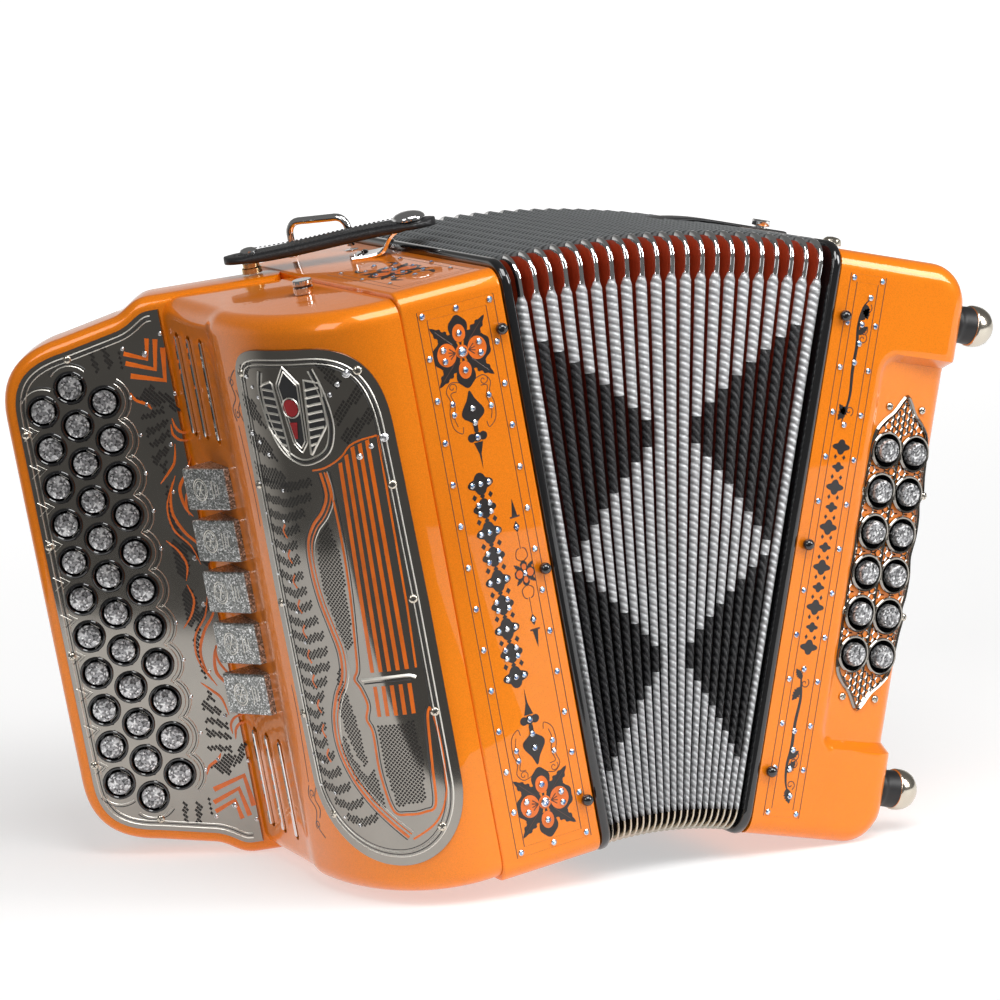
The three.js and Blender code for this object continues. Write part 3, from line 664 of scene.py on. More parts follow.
# dark quads of painted shade at the slot bottoms, chrome blades and bead chains
BEADS = 34
louvre = Heap()
for y in SLOT_Y:
    for side in (1, -1):
        low, high = side * 102 - 25.6, side * 102 + 25.6
        # a dark quad at the bottom of each slot: painted shade for the inside of the opening
        slot_shade = [(y - 2.5, low), (y + 2.5, low), (y + 2.5, high), (y - 2.5, high)]
        louvre.put([(-104.6, u, v) for u, v in slot_shade], [(0, 1, 2, 3)])
        blade = rounded(y - 1.9, y + 0.7, low + 1, high - 1, 1.2, 4)
        louvre.skin([[(x, u, v) for u, v in inset(clean(blade), d)]
                     for x, d in ((-105, 0), (-108.4, 0), (-108.8, 0.4))], 1)
        for i in range(BEADS):
            z = low + 1 + (high - low - 2) * (i + 0.5) / BEADS
            dome(louvre, lambda u, v, h: (-107.2 - h, u, v), y + 1.75, z, 0.74, 0.0, 1.0, 2, 7)
louvre.done("louvre_blades", T, [HOLE_SHADE, CHROME, SETTING], "treble", "polished_chrome")

# ---------------------------------------------------------------- fingerboard
END = 145.5


def board_outline():
    n = 14
    right = 128.0
    top = END - 14
    pts = [(right, -END), (right, END), (62, END)]
    pts += bezier((62, END), (52, END), (50, END - 6), (42, END - 8), n)[1:]
    pts += [(14, top)]
    pts += bezier((14, top), (-6, top - 3), (-20, top - 12), (-20, top - 36), n)[1:]
    pts += [(-20, 40.0), (-20, 0.0), (-20, -40.0), (-20, -top + 36)]
    pts += bezier((-20, -top + 36), (-20, -top + 12), (-6, -top + 3), (14, -top), n)[1:]
    pts += [(42, -END + 8)]
    pts += bezier((42, -END + 8), (50, -END + 6), (52, -END), (62, -END), n)[1:]
    return clean(pts)


EDGE_BEND, THICK = 5.5, 28
base = board_outline()
quarter = [math.pi / 2 * k / 8 for k in range(9)]
levels = [(-EDGE_BEND * (1 - math.cos(a)), EDGE_BEND * (1 - math.sin(a))) for a in quarter] + [(-14.0, 0.0)]
levels += [(-THICK + EDGE_BEND * (1 - math.sin(a)), EDGE_BEND * (1 - math.cos(a)))
           for a in [math.pi / 2 * k / 6 for k in range(7)]]
rings = [[(x, y, z) for x, y in inset(base, d)] for z, d in levels]
board = hull("fingerboard_slab", rings, F, ORANGE, None, "orange_lacquer")

ROWS = (11, 12, 11)
PITCH, ROW_PITCH, WELL = 19.5, 15.74, 7.7
PLACES = [(row, i, row * ROW_PITCH, ((count - 1) / 2 - i) * PITCH)
          for row, count in enumerate(ROWS) for i in range(count)]


def well_cutter(name, places, matrix, radius, low, high):
    heap = Heap()
    for u, v in places:
        heap.skin([circle(u, v, radius, z, 36) for z in (low, high)])
    return heap.done(name, matrix, BLACK, None, None)


carve(board, well_cutter("well_cutter", [(x, y) for _, _, x, y in PLACES], F, WELL, -10.5, 5))
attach(board, "treble")
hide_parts("fingerboard")


def plate_outline(d, right):
    """The plate's edge follows the board's front at inset d and stops at the cover."""
    kept = [p for p in inset(board_outline(), d) if p[0] < right - 0.5]
    return [(right, min(p[1] for p in kept)), (right, max(p[1] for p in kept))] + sorted_along(kept)


def sorted_along(points):
    """Order edge points from the top right, round the left end, to the bottom right."""
    upper = sorted([p for p in points if p[1] > 95], key=lambda p: -p[0])
    lower = sorted([p for p in points if p[1] < -95], key=lambda p: p[0])
    middle = sorted([p for p in points if abs(p[1]) <= 95], key=lambda p: -p[1])
    return upper + middle + lower


plate_edge = clean(plate_outline(6.5, FOOT - 1.2))
rings = [[(x, y, z) for x, y in inset(plate_edge, d)] for z, d in ((0.2, 0.0), (1.1, 0.0), (1.4, 0.4))]
plate = hull("button_plate_skin", rings, F, PLATE, None, "engraved_chrome")
carve(plate, well_cutter("plate_cutter", [(x, y) for _, _, x, y in PLACES], F, WELL, -3, 5))
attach(plate, "treble")
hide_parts("button_plate")

# black cups round the buttons
cups = Heap()
profile = [(8.5, 1.35), (8.5, 1.9), (8.15, 2.25), (7.5, 2.3), (7.1, 1.9), (6.9, 0.6), (6.8, -9.8), (0.2, -9.8)]
for _, _, x, y in PLACES:
    cups.skin([circle(x, y, r, h, 40) for r, h in profile], caps=False)
make("button_cups", cups.verts, cups.faces, F, BLACK, "treble")

button_profile = [(0.05, 2.35), (5.2, 2.35), (5.75, 2.2), (6.0, 1.85), (6.1, 1.2), (6.1, -5.9), (0.05, -5.9)]
button_mesh = None
for row, i, x, y in PLACES:
    name = f"treble_button_{row + 1}_{i + 1:02d}"
    if button_mesh is None:
        cap = hull(name + "_cap", lathe(button_profile, 36), F @ Matrix.Translation((x * MM, y * MM, 0)),
                   [GLITTER, BLACK], name, "glitter")
        cap.data.polygons.foreach_set("material_index", [int(p.center.z <= 1.9 * MM) for p in cap.data.polygons])
        button_mesh = cap.data
    else:
        cap = bpy.data.objects.new(name + "_cap", button_mesh)
        bpy.context.scene.collection.objects.link(cap)
        cap.matrix_world = F @ Matrix.Translation((x * MM, y * MM, 0)) @ Matrix.Rotation(rng.uniform(0, 6), 4, "Z")
        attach(cap, name)
    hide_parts(name)

# engraving and inlay on the plate
H0 = 1.42
grave = Heap()


def double_line(points):
    stroke(grave, flat, points, 0.5, 0.2, H0)
    stroke(grave, flat, offset_open(points, 1.3), 0.5, 0.2, H0, material=1)


for d, wide, high, shade in ((9.0, 0.6, 0.22, 0), (10.4, 0.5, 0.2, 1), (11.5, 0.5, 0.2, 0)):
    border = sorted_along([q for q in inset(board_outline(), d) if q[0] < FOOT - 2])
    stroke(grave, flat, border, wide, high, H0, material=shade)

# contour round the buttons: arcs on the outer rows, straight ties between them
third = [(x, y) for row, _, x, y in PLACES if row == 2]
SWEEP = 52
for r in (10.3, 12.0, 13.2):
    reach, rise = r * math.cos(math.radians(SWEEP)), r * math.sin(math.radians(SWEEP))
    for x, y in third:
        stroke(grave, flat, arc(x, y, r, -SWEEP, SWEEP, 14), 0.45, 0.2, H0, material=int(r == 12.0))
    for (xa, ya), (xb, yb) in zip(third, third[1:]):
        stroke(grave, flat, [(xa + reach, ya - rise), (xa + reach - 1.4, (ya + yb) / 2), (xb + reach, yb + rise)],
               0.45, 0.2, H0)
first = [(x, y) for row, _, x, y in PLACES if row == 0]
for (xa, ya), (xb, yb) in zip(first, first[1:]):
    mid = (ya + yb) / 2
    for k, off in enumerate((7.2, 9.2, 10.6)):
        stroke(grave, flat, [(xa - off - 1.5, mid + 3.4), (xa - off + 3.2, mid), (xa - off - 1.5, mid - 3.4)],
               0.45, 0.2, H0, False, k % 2)
for row, i, x, y in PLACES:
    if row == 2:
        continue
    for half_v in (9.75, -9.75):
        cx, cy = x + 7.87 * 0.5, y + half_v * 0.5
        n = Vector((-half_v, 7.87)).normalized() * 2.6
        stroke(grave, flat, [(cx - n.x, cy - n.y), (cx + n.x, cy + n.y)], 0.45, 0.2, H0)
    if i < ROWS[row] - 1:
        for d in (-1.6, 1.6):
            stroke(grave, flat, [(x + 1.0 - 2.4, y - 9.75 + d), (x + 1.0 + 2.4, y - 9.75 + d)], 0.4, 0.16, H0,
                   material=1)
double_line(arc(0, 97.5, 11.2, 60, 150, 16))
double_line(arc(15.74, 107.25, 11.0, 40, 140, 16))
double_line(arc(0, -97.5, 11.2, 210, 300, 16))
double_line(arc(15.74, -107.25, 11.0, 220, 320, 16))
grave.done("button_plate_engraving", F, [CUT_BRIGHT, CUT_DARK_AND_SLOT_SHADE], "treble", "engraved_chrome")

inlay = Heap()
for side in (1, -1):
    for pts, w in (([(45.6, 119.9), (56.5, 115.4), (58.4, 125.6)], 2.3),
                   ([(45.6, 115.0), (59.6, 109.6), (62.4, 124.6)], 2.5),
                   ([(46.9, 108.3), (63.4, 103.4), (65.4, 119.8)], 2.7)):
        stroke(inlay, flat, [(x, side * y) for x, y in pts], w, 0.12, H0 + 0.02)


def leaf_stroke(heap, place, pts, wide, height, base):
    line = through(pts, 7)
    t = np.linspace(0, 1, len(line))
    stroke(heap, place, line, wide * np.sin(math.pi * np.clip(t, 0.02, 0.98)) ** 0.7 + 0.15, height, base)


for s in (1, -1):
    for pts, w in (
        ([(45, s * 100), (47, s * 96), (52, s * 93), (54, s * 90)], 1.5),
        ([(63, s * 84), (64, s * 79), (67, s * 76), (72, s * 76)], 1.3),
        ([(62, s * 81), (62, s * 76), (65, s * 72.5), (71, s * 71.5)], 1.2),
        ([(62, s * 71), (60, s * 62), (56, s * 57), (51, s * 52)], 1.2),
        ([(69, s * 64), (65, s * 56), (60, s * 48), (61, s * 38), (64, s * 33)], 1.5),
        ([(70, s * 57), (66, s * 50), (62, s * 42), (62, s * 34)], 1.1),
        ([(59, s * 55), (55, s * 46), (54, s * 36), (58, s * 26), (64, s * 18), (66, s * 10)], 1.4),
        ([(57, s * 52), (52, s * 40), (53, s * 28), (60, s * 18), (63, s * 8)], 1.0),
        ([(48, s * 23), (53, s * 17), (56, s * 9), (54, s * 1)], 1.3),
    ):
        leaf_stroke(inlay, flat, pts, w, 0.12, base=H0 + 0.02)
inlay.done("button_plate_inlay", F, CUTOUT, "treble", "orange_lacquer")

# the plate's piercings, drawn as dark diamonds of painted shade
mesh_holes = Heap()
for s in (1, -1):
    for poly in (
        [(28, s * 122), (31, s * 124), (33, s * 113), (30, s * 112)],
        [(34, s * 125), (38, s * 125), (40, s * 114), (36, s * 113)],
        [(43, s * 121), (44.5, s * 121), (45, s * 110), (42, s * 111)],
        [(46, s * 96), (56, s * 103), (62, s * 93), (58, s * 90), (52, s * 93)],
        [(48, s * 88), (60, s * 91), (60, s * 87), (47, s * 84)],
        [(48, s * 80), (61, s * 85), (61, s * 81), (49, s * 76)],
        [(49, s * 73), (61, s * 79), (61, s * 75), (50, s * 69)],
        [(49, s * 66), (59, s * 72), (59, s * 68), (50, s * 60)],
        [(52, s * 62), (57, s * 64), (52, s * 46), (51, s * 30), (57, s * 18), (66, s * 6), (69, s * 8),
         (57, s * 24), (53.5, s * 36), (55, s * 50)],
        [(50, s * 24), (58, s * 19), (58, s * 9), (55, s * 0.5), (50, s * 4)],
        [(58, s * 99), (64, s * 97), (69, s * 86), (65, s * 86)],
    ):
        pierce(mesh_holes, flat, poly, 2.0, 2.5, 0.8, H0 + 0.05, margin=0.45, side_shadow=True)
mesh_holes.done("button_plate_hole_shade", F, HOLE_SHADE, "treble", "engraved_chrome")

board_gems, board_screws = Heap(), Heap()
for s in (1, -1):
    for u, v, r in ((56, 118, 1.5), (45.5, 122.5, 1.0), (65.5, 127, 1.1), (52, 93, 0.9), (60, 71, 1.1), (66, 58, 1.3),
                    (56.5, 47, 0.9), (67, 96, 1.0), (46, 78, 0.9), (44.8, 58.5, 1.0), (44.8, 39, 1.0),
                    (44.8, 19.5, 1.0), (44.8, 97.5, 1.0), (60.5, 12, 1.3)):
        gem(board_gems, flat, u, s * v, r, H0)
for u, v in ((-10.8, 87), (-10.8, 29), (-10.8, -28.5), (-10.8, -86.5), (17.2, 121.5), (17.2, -119.5)):
    screw(board_screws, flat, u, v, 2.1, H0)
board_gems.done("button_plate_stones", F, [CLEAR_STONE, SETTING], "treble", None)
board_screws.done("button_plate_screws", F, [NICKEL, CUT_DARK_AND_SLOT_SHADE], "treble", "polished_chrome")


# ---------------------------------------------------------------- grille plate on the bulge
CURVE = np.array(plan_line(400))
ALONG = np.concatenate([[0], np.cumsum(np.hypot(*np.diff(CURVE, axis=0).T))])
TANGENT = np.gradient(CURVE, axis=0)
TANGENT /= np.linalg.norm(TANGENT, axis=1)[:, None]


def bulge_out(u, v, h):
    x, y = np.interp(u, ALONG, CURVE[:, 0]), np.interp(u, ALONG, CURVE[:, 1])
    tx, ty = np.interp(u, ALONG, TANGENT[:, 0]), np.interp(u, ALONG, TANGENT[:, 1])
    nx, ny = ty, -tx
    if nx > 0 or (abs(nx) < 1e-3 and ny > 0):
        nx, ny = -nx, -ny
    return (x + nx * h, y + ny * h, v)


G = 1.5
grille_edge = clean([(6.5, -88), (6.3, 0), (7.0, 62), (7.4, 86)]
                    + bezier((7.4, 86), (7.8, 112), (17, 128), (42, 128.5), 18)[1:]
                    + [(66, 128.8)] + bezier((66, 128.8), (84, 129.5), (91, 126), (92, 112), 10)[1:]
                    + [(93, 60), (93.6, 0), (93, -60), (92.4, -88)]
                    + bezier((92.4, -88), (90, -108), (66, -127.5), (40, -127), 18)[1:]
                    + bezier((40, -127), (20, -126.5), (6.8, -110), (6.5, -88), 18)[1:])


def orient(points):
    area = sum(x0 * y1 - x1 * y0 for (x0, y0), (x1, y1) in zip(points, points[1:] + points[:1]))
    return points if area > 0 else points[::-1]


grille_edge = orient(grille_edge)


def resample(points, step):
    """Closed outline with points about every step along it."""
    p = np.array(points + [points[0]], float)
    s = np.concatenate([[0], np.cumsum(np.hypot(*np.diff(p, axis=0).T))])
    t = np.linspace(0, s[-1], max(int(s[-1] / step), 3), endpoint=False)
    return [(float(a), float(b)) for a, b in zip(np.interp(t, s, p[:, 0]), np.interp(t, s, p[:, 1]))]


grille_edge = resample(grille_edge, 3.0)
plate = Heap()
fill(plate, bulge_out, [grille_edge], G, 2.5)
plate.skin([[bulge_out(u, v, h) for u, v in inset(grille_edge, d)]
            for h, d in ((0.1, -0.25), (0.9, -0.25), (G, 0.05))], caps=False)
grille = plate.done("grille_plate_skin", T, PLATE, "treble", "engraved_chrome", sharp=50)
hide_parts("grille_plate")

cutg, inlayg, meshg, gemg, screwg = Heap(), Heap(), Heap(), Heap(), Heap()
for d, w, k in ((4.5, 0.7, 0), (5.7, 0.5, 1), (6.8, 0.6, 0), (8.0, 0.4, 1)):
    stroke(cutg, bulge_out, inset(grille_edge, d), w, 0.25, G, True, k)


def lay(heap, pts, w, h=0.14, material=0):
    stroke(heap, bulge_out, through(pts), w, h, G + 0.02, material=material)


# parallel inlaid bars that run down the right side
for k in range(5):
    u0, u1 = 19.5 + k * 3.6, 21.0 + k * 4.2
    top = 82.5 - 1.1 * k - (0 if k < 3 else (k - 2) * 2.4)
    fill(inlayg, bulge_out, [[(u0, top), (u0 + 1.9, top - 0.6), (u1 + 1.9, -30), (u1, -30)]], G + 0.06, 2.5)
    fill(inlayg, bulge_out, [[(u1 + 0.1, -37), (u1 + 2.0, -37), (u1 + 2.6, -52), (u1 + 0.7, -52)]], G + 0.06, 2.5)
fill(inlayg, bulge_out, [[(14.8, 83.4), (15.8, 83.6), (17.0, 0), (16.0, 0)]], G + 0.06, 2.5)
fill(inlayg, bulge_out, [[(16.0, 0), (17.0, 0), (18.2, -30), (17.2, -30)]], G + 0.06, 2.5)
lay(inlayg, [(15.5, 83.5), (19, 83.2), (24, 82.5), (29, 80.5), (33, 76.5), (38, 73.3), (44, 71), (50, 70.2)], 0.9)
# cross bar
lay(cutg, [(45, -33.4), (38, -33.2), (30, -33.0), (22, -33.2), (18.5, -34.5)], 1.6, 0.6)
lay(cutg, [(44, -35.4), (36, -35.0), (28, -35.0), (21, -35.4)], 0.7, 0.3, 1)
# flowing double curves between the two halves of the plate: one wavy ribbon
WAVE = [(46, 69), (45, 58), (49, 50), (56, 43), (61, 34), (62, 20), (60.5, 6), (57, -8), (54.5, -20), (56, -32),
        (62, -42), (66.5, -54), (67, -68), (62, -82), (54, -94), (45, -104), (36, -113)]
for off, w, heap, material in ((0, 1.5, inlayg, 0), (2.2, 0.7, inlayg, 0), (-1.6, 0.5, cutg, 1),
                               (3.8, 0.5, cutg, 0)):
    stroke(heap, bulge_out, offset_open(through(WAVE), off), w, 0.16, G + 0.02, material=material)
RIGHT = [(42.5, 69), (41.5, 40), (42.5, 10), (45.0, -16), (46.5, -28), (49, -33), (46.5, -38), (44.5, -46),
         (46.5, -53), (44.5, -60), (44.8, -80), (41.5, -99), (34, -101.5), (26, -101), (20.5, -98), (18.8, -80),
         (16.8, -56), (14.8, -50)]
stroke(inlayg, bulge_out, through(RIGHT), 1.2, 0.16, G + 0.02)
stroke(cutg, bulge_out, offset_open(through(RIGHT), 1.5), 0.5, 0.2, G + 0.02, material=1)
lay(inlayg, [(14.8, -50), (13.2, -62), (13.2, -80), (15.5, -96), (22, -107), (34, -114)], 1.0)
# plain panels with fine pierced mesh, drawn as dark diamonds of painted shade
PANELS = [
    [(46.8, 47), (54, 39), (57.5, 27), (57.3, 10), (54, -8), (51, -19), (45.5, -17), (43.8, 5), (43.3, 30)],
    [(55, -24), (59, -30), (62, -44), (61.5, -58), (57, -72), (52.5, -78), (50, -74), (51.5, -56), (54.5, -40)],
    [(64.5, -62), (65.5, -70), (60, -84), (52, -94), (45.5, -100), (44.5, -94), (47.5, -76), (52, -82), (58, -72),
     (61, -60)],
    [(42, -56), (22.5, -55), (21.8, -76), (24.5, -97), (39.5, -97.5), (42, -80)],
]
for poly in PANELS:
    pierce(meshg, bulge_out, resample(poly, 2.0), 2.05, 2.05, 0.72, G + 0.06, margin=0.6)
# pierced barbs along the left side, between the ridge and the ribbon, drawn as dark diamonds of painted shade
for k in range(23):
    v = 62 - k * 7.6
    u_in = float(np.interp(-v, [-w[1] for w in WAVE[1:]], [w[0] for w in WAVE[1:]])) + 6.5
    u_out = 86.5 if v > -88 else 86.5 - (-88 - v) * 0.9
    if u_out - u_in < 6:
        continue
    mid = (u_in + u_out) / 2
    poly = [(u_in, v + 5.5), (mid, v + 2.2), (u_out, v + 4.6), (u_out, v - 0.2), (mid, v - 2.8), (u_in, v + 0.6)]
    pierce(meshg, bulge_out, poly, 2.1, 2.1, 0.76, G + 0.06, margin=0.35)
    if k % 2 == 0:
        gem(gemg, bulge_out, mid + 2, v - 1.6, 0.95, G)
        gem(gemg, bulge_out, u_out + 1.2, v + 1.5, 0.8, G)
# small inlaid dashes in a column on the left
for k in range(10):
    v = 40 - k * 12.5
    lay(inlayg, [(74.5, v + 3.4), (76.5, v), (74.5, v - 3.4)], 1.2)
# pierced fans at the top, drawn as dark diamonds of painted shade
for poly in ([(33, 123), (40, 122), (30, 108), (26, 111)], [(15, 107), (18, 111), (34, 97), (33, 90)],
             [(12.5, 94), (14.5, 99), (33, 86), (29, 81)], [(76, 124), (86, 121), (88, 110), (80, 118)],
             [(89, 108), (88, 97), (74, 90), (80, 104)], [(90, 92), (89, 80), (70, 74), (74, 84)],
             [(90, 74), (89, 64), (66, 62), (68, 70)]):
    pierce(meshg, bulge_out, poly, 2.2, 2.6, 0.78, G + 0.06, margin=0.3)
for u, v, r in ((24, 115, 2.0), (29, 110.5, 1.3), (33.5, 106, 1.2), (12.5, 82, 2.0), (19, 79, 1.2), (25, 75, 1.5),
                (82, 116, 1.2), (79, 111, 1.0), (76, 106, 1.0), (86, 88, 1.4), (81, 84, 1.2), (76, 78, 1.2)):
    gem(gemg, bulge_out, u, v, r, G)
# a plain raised lozenge with ribbed wings at the top, in place of the maker's crest
lozenge = [(56, 121), (62, 112), (57.5, 84), (53.5, 79), (49.5, 84), (48, 112)]
fill(cutg, bulge_out, [resample(orient(lozenge), 3)], G + 0.3, 2.5, material=1)
for d in (0.0, 1.4):
    stroke(cutg, bulge_out, inset(resample(orient(lozenge), 2), d), 0.8, 0.5, G + 0.25, True)
enamel = Heap()
for spot in (arc(55.3, 101, 4.2, 0, 360, 20)[:-1], orient([(53, 94), (57.5, 94), (56.0, 86), (54.3, 86)])):
    fill(enamel, bulge_out, [spot], G + 0.6, 1.5)
enamel.done("grille_emblem", T, ENAMEL, "treble", None, sharp=50)
stroke(cutg, bulge_out, arc(55.3, 101, 4.8, 0, 360, 24)[:-1], 0.7, 0.5, G + 0.4, True)
for side in (1, -1):
    wing = [(55 + side * 9.5, 114), (55 + side * 17.5, 112), (55 + side * 17.5, 92), (55 + side * 6, 77)]
    wing = resample(orient(wing), 2.5)
    fill(cutg, bulge_out, [wing], G + 0.1, 2.5, material=1)
    stroke(cutg, bulge_out, wing, 1.2, 0.6, G + 0.1, True)
    for k in range(8):
        v = 110 - k * 3.8
        a, b = 55 + side * (16.6 - max(0, (92 - v)) * 0.7), 55 + side * (8.8 - max(0, (100 - v)) * 0.1)
        stroke(cutg, bulge_out, [(a, v), ((a + b) / 2, v - 0.4), (b, v - 1.0)], 1.2, 0.45, G + 0.12)
frame_line = [(72.5, 119), (75, 108), (72, 92), (66, 80), (56, 73.5), (46, 74.5), (38, 80), (34.5, 92), (36.5, 108),
              (40, 119)]
for off, k in ((0, 0), (1.3, 1), (2.5, 0)):
    stroke(cutg, bulge_out, offset_open(through(frame_line, 6), off), 0.9, 0.5, G, material=k)
for u, v in ((12.8, 59), (13.2, 3), (13.0, -53), (19.5, -109.5), (18.8, 115.5), (86.5, 117.5), (90.0, 62), (90.6, 3),
             (90.0, -53), (80.5, -103)):
    screw(screwg, bulge_out, u, v, 2.2, G)
cutg.done("grille_engraving", T, [CUT_BRIGHT, CUT_DARK_AND_SLOT_SHADE], "treble", "engraved_chrome")
inlayg.done("grille_inlay", T, CUTOUT, "treble", "orange_lacquer")
meshg.done("grille_hole_shade", T, HOLE_SHADE, "treble", "engraved_chrome")
gemg.done("grille_stones", T, [CLEAR_STONE, SETTING], "treble", None)
screwg.done("grille_screws", T, [NICKEL, CUT_DARK_AND_SLOT_SHADE], "treble", "polished_chrome")

# ---------------------------------------------------------------- printed ornament on the front panels
ink, thin, gems, petals = Heap(), Heap(), Heap(), Heap()


def rot(points, a, cx=0.0, cy=0.0, mirror=1, size=1):
    """Points scaled, mirrored, turned by a degrees and moved to cx, cy."""
    c, s = math.cos(math.radians(a)), math.sin(math.radians(a))
    return [(cx + (x * size * mirror) * c - y * size * s, cy + (x * size * mirror) * s + y * size * c)
            for x, y in points]


def oval(y, half_wide, half_long, lobes=0, wave=0.0):
    """An oval standing on the y axis, with a lobed edge when asked."""
    out = []
    for k in range(40):
        a = 2 * math.pi * k / 40
        r = 1 + wave * math.sin(lobes * a)
        out.append((half_wide * r * math.cos(a), y + half_long * r * math.sin(a)))
    return out


def leaf(length, width):
    side = []
    n = 22
    for k in range(n + 1):
        t = k / n
        w = width * math.sin(math.pi * t ** 0.8) ** 0.8 * (1 + (0.2 if k % 4 < 2 else -0.14) * (0.2 < t < 0.9))
        side.append((w, t * length))
    return [(0, 0)] + side[1:-1] + [(0, length)] + [(-x, y) for x, y in side[::-1][1:-1]]


def ring_of(heap, place, shape, angles, cx, cy, size, height):
    for a in angles:
        fill(heap, place, [orient(rot(shape, a, cx, cy, size=size))], height)


def flower_black(heap, place, cx, cy, size, base):
    for angles, lobed in (((0, 180), oval(11.0, 4.9, 6.4, 5, 0.05)), ((90, 270), oval(8.4, 7.2, 6.6, 7, 0.05))):
        ring_of(heap, place, [(0, 0)] + lobed[31:] + lobed[:30], angles, cx, cy, size, base)
    ring_of(heap, place, [(x, y + 2.2) for x, y in leaf(18.2, 2.9)], (45, 135, 225, 315), cx, cy, size, base + 0.02)


def flower_orange(heap, place, cx, cy, size, base):
    for angles, petal in (((0, 180), oval(8.9, 3.3, 4.3)), ((90, 270), oval(8.0, 5.6, 4.9))):
        ring_of(heap, place, petal, angles, cx, cy, size, base)
    fill(heap, place, [arc(cx, cy, 3.3 * size, 0, 360, 20)[:-1]], base + 0.02)


def flower(cx, cy):
    flower_black(ink, panel, cx, cy, 1, 0.10)
    flower_orange(petals, panel, cx, cy, 1, 0.15)
    for a in (90, 270):
        for bend in (-35, -12, 12, 35):
            vein = [(0, 3.4), (math.sin(math.radians(bend)) * 4.4, 3.4 + 3.6 * math.cos(math.radians(bend)))]
            stroke(thin, panel, rot(vein, a, cx, cy), 0.55, 0.05, 0.17)
    for a in (45, 135, 225, 315):
        stroke(thin, panel, rot([(0, 6), (0, 17)], a, cx, cy), 0.25, 0.05, 0.14)
    gem(gems, panel, cx, cy, 2.3, 0.18)


def spiral(cx, cy, r0, r1, a0, a1):
    n = 26
    return [(cx + (r0 + (r1 - r0) * i / n) * math.cos(math.radians(a0 + (a1 - a0) * i / n)),
             cy + (r0 + (r1 - r0) * i / n) * math.sin(math.radians(a0 + (a1 - a0) * i / n))) for i in range(n + 1)]


def spade(cx, cy, s):
    """A black drop with a stem, two round buds and a long point; s is +1 to point down and -1 to point up."""
    right = [(2.2, 8.6), (5.6, 3.6), (5.4, 0.6), (2.6, -1.6), (1.2, -3.2), (1.0, -7)]
    body = through([(0, 13)] + right + [(-x, y) for x, y in right[::-1]], 4, True)
    fill(ink, panel, [orient([(cx + x, cy + s * y) for x, y in body])], 0.12)
    for side in (1, -1):
        fill(ink, panel, [orient(arc(cx + side * 3.0, cy - s * 9.6, 2.1, 0, 360, 16)[:-1])], 0.12)
    fill(ink, panel, [orient(arc(cx, cy - s * 9.6, 2.3, 0, 360, 16)[:-1])], 0.13)
    fill(ink, panel, [orient([(cx - 2.4, cy - s * 12.2), (cx + 2.4, cy - s * 12.2), (cx + 0.5, cy - s * 18),
                              (cx, cy - s * 25.5), (cx - 0.5, cy - s * 18)])], 0.12)
    for y in (4.4, -2.6, -9.8):
        gem(gems, panel, cx, cy + s * y, 1.45, 0.14)
    for side in (1, -1):
        for curl in (((3.5, 17.5), (8.5, 18.6), (11.6, 15), (10.4, 10), (11.8, 4), (11.0, -3), (7.2, -6.4),
                      (6.2, -3.4)),
                     ((6.4, 14), (9.6, 13.2), (8.4, 8), (9.8, 2), (8.8, -2.6))):
            stroke(thin, panel, through([(cx + side * x, cy + s * y) for x, y in curl], 7), 0.42, 0.05, 0.03)
        stroke(thin, panel, spiral(cx + side * 8.2, cy + s * 16.2, 0.4, 2.4, 0, side * 400), 0.4, 0.05, 0.03)
        gem(gems, panel, cx + side * 9.6, cy + s * 8.6, 1.4, 0.05)
        gem(gems, panel, cx + side * 9.8, cy + s * 3.4, 1.4, 0.05)


def frame_lines(x0, x1, half, gap, stones, pitch):
    for d in (0, gap):
        stroke(thin, panel, [(x0 + d, -half + d), (x1 - d, -half + d), (x1 - d, half - d), (x0 + d, half - d)],
               0.42, 0.05, 0.02, True)
    n = round(2 * half / pitch)
    for side in (x0 + gap / 2, x1 - gap / 2):
        for k in range(n + 1):
            v = -half + gap / 2 + (2 * half - gap) * k / n
            gem(gems, panel, side, v, stones, 0.03)
    for v in (half - gap / 2, -half + gap / 2):
        if x1 - x0 > 30:
            gem(gems, panel, (x0 + x1) / 2, v, stones, 0.03)


frame_lines(-40.26, 0.0, 135.14, 4.6, 1.5, 20.6)
for s in (1, -1):
    flower(-21.0, s * 112.0)
    for dx, dy in ((0, 9.0), (0, -9.0), (9.4, 2.7), (9.4, -2.7), (-9.4, 2.7), (-9.4, -2.7)):
        gem(gems, panel, -21.0 + dx, s * 112.0 + dy, 1.5, 0.18)
    spade(-21.0, s * 80.0, s)

# a column of plain geometric fleurons between the two spades
for k in range(9):
    cy = -48.0 + 12.0 * k
    cx = -24.0
    star = []
    for j in range(32):
        a = 2 * math.pi * j / 32
        r = 6.4 * (0.66 + 0.34 * abs(math.cos(2 * a)) ** 1.6) * (1.0 if k % 2 == 0 else 0.9)
        star.append((cx + r * 1.05 * math.cos(a), cy + r * 0.86 * math.sin(a)))
    fill(ink, panel, [star], 0.12)
    three, four = ((0, 0), (4.4, 0), (-4.4, 0)), ((2.9, 2.1), (-2.9, 2.1), (2.9, -2.1), (-2.9, -2.1))
    for dx, dy in four if k % 2 else three:
        gem(gems, panel, cx + dx, cy + dy, 1.35, 0.14)
    if k < 8:
        for dx in (-4.2, 0, 4.2):
            fill(ink, panel, [[(cx + dx - 1.3, cy + 6.0), (cx + dx, cy + 4.4), (cx + dx + 1.3, cy + 6.0),
                               (cx + dx, cy + 7.6)]], 0.11)
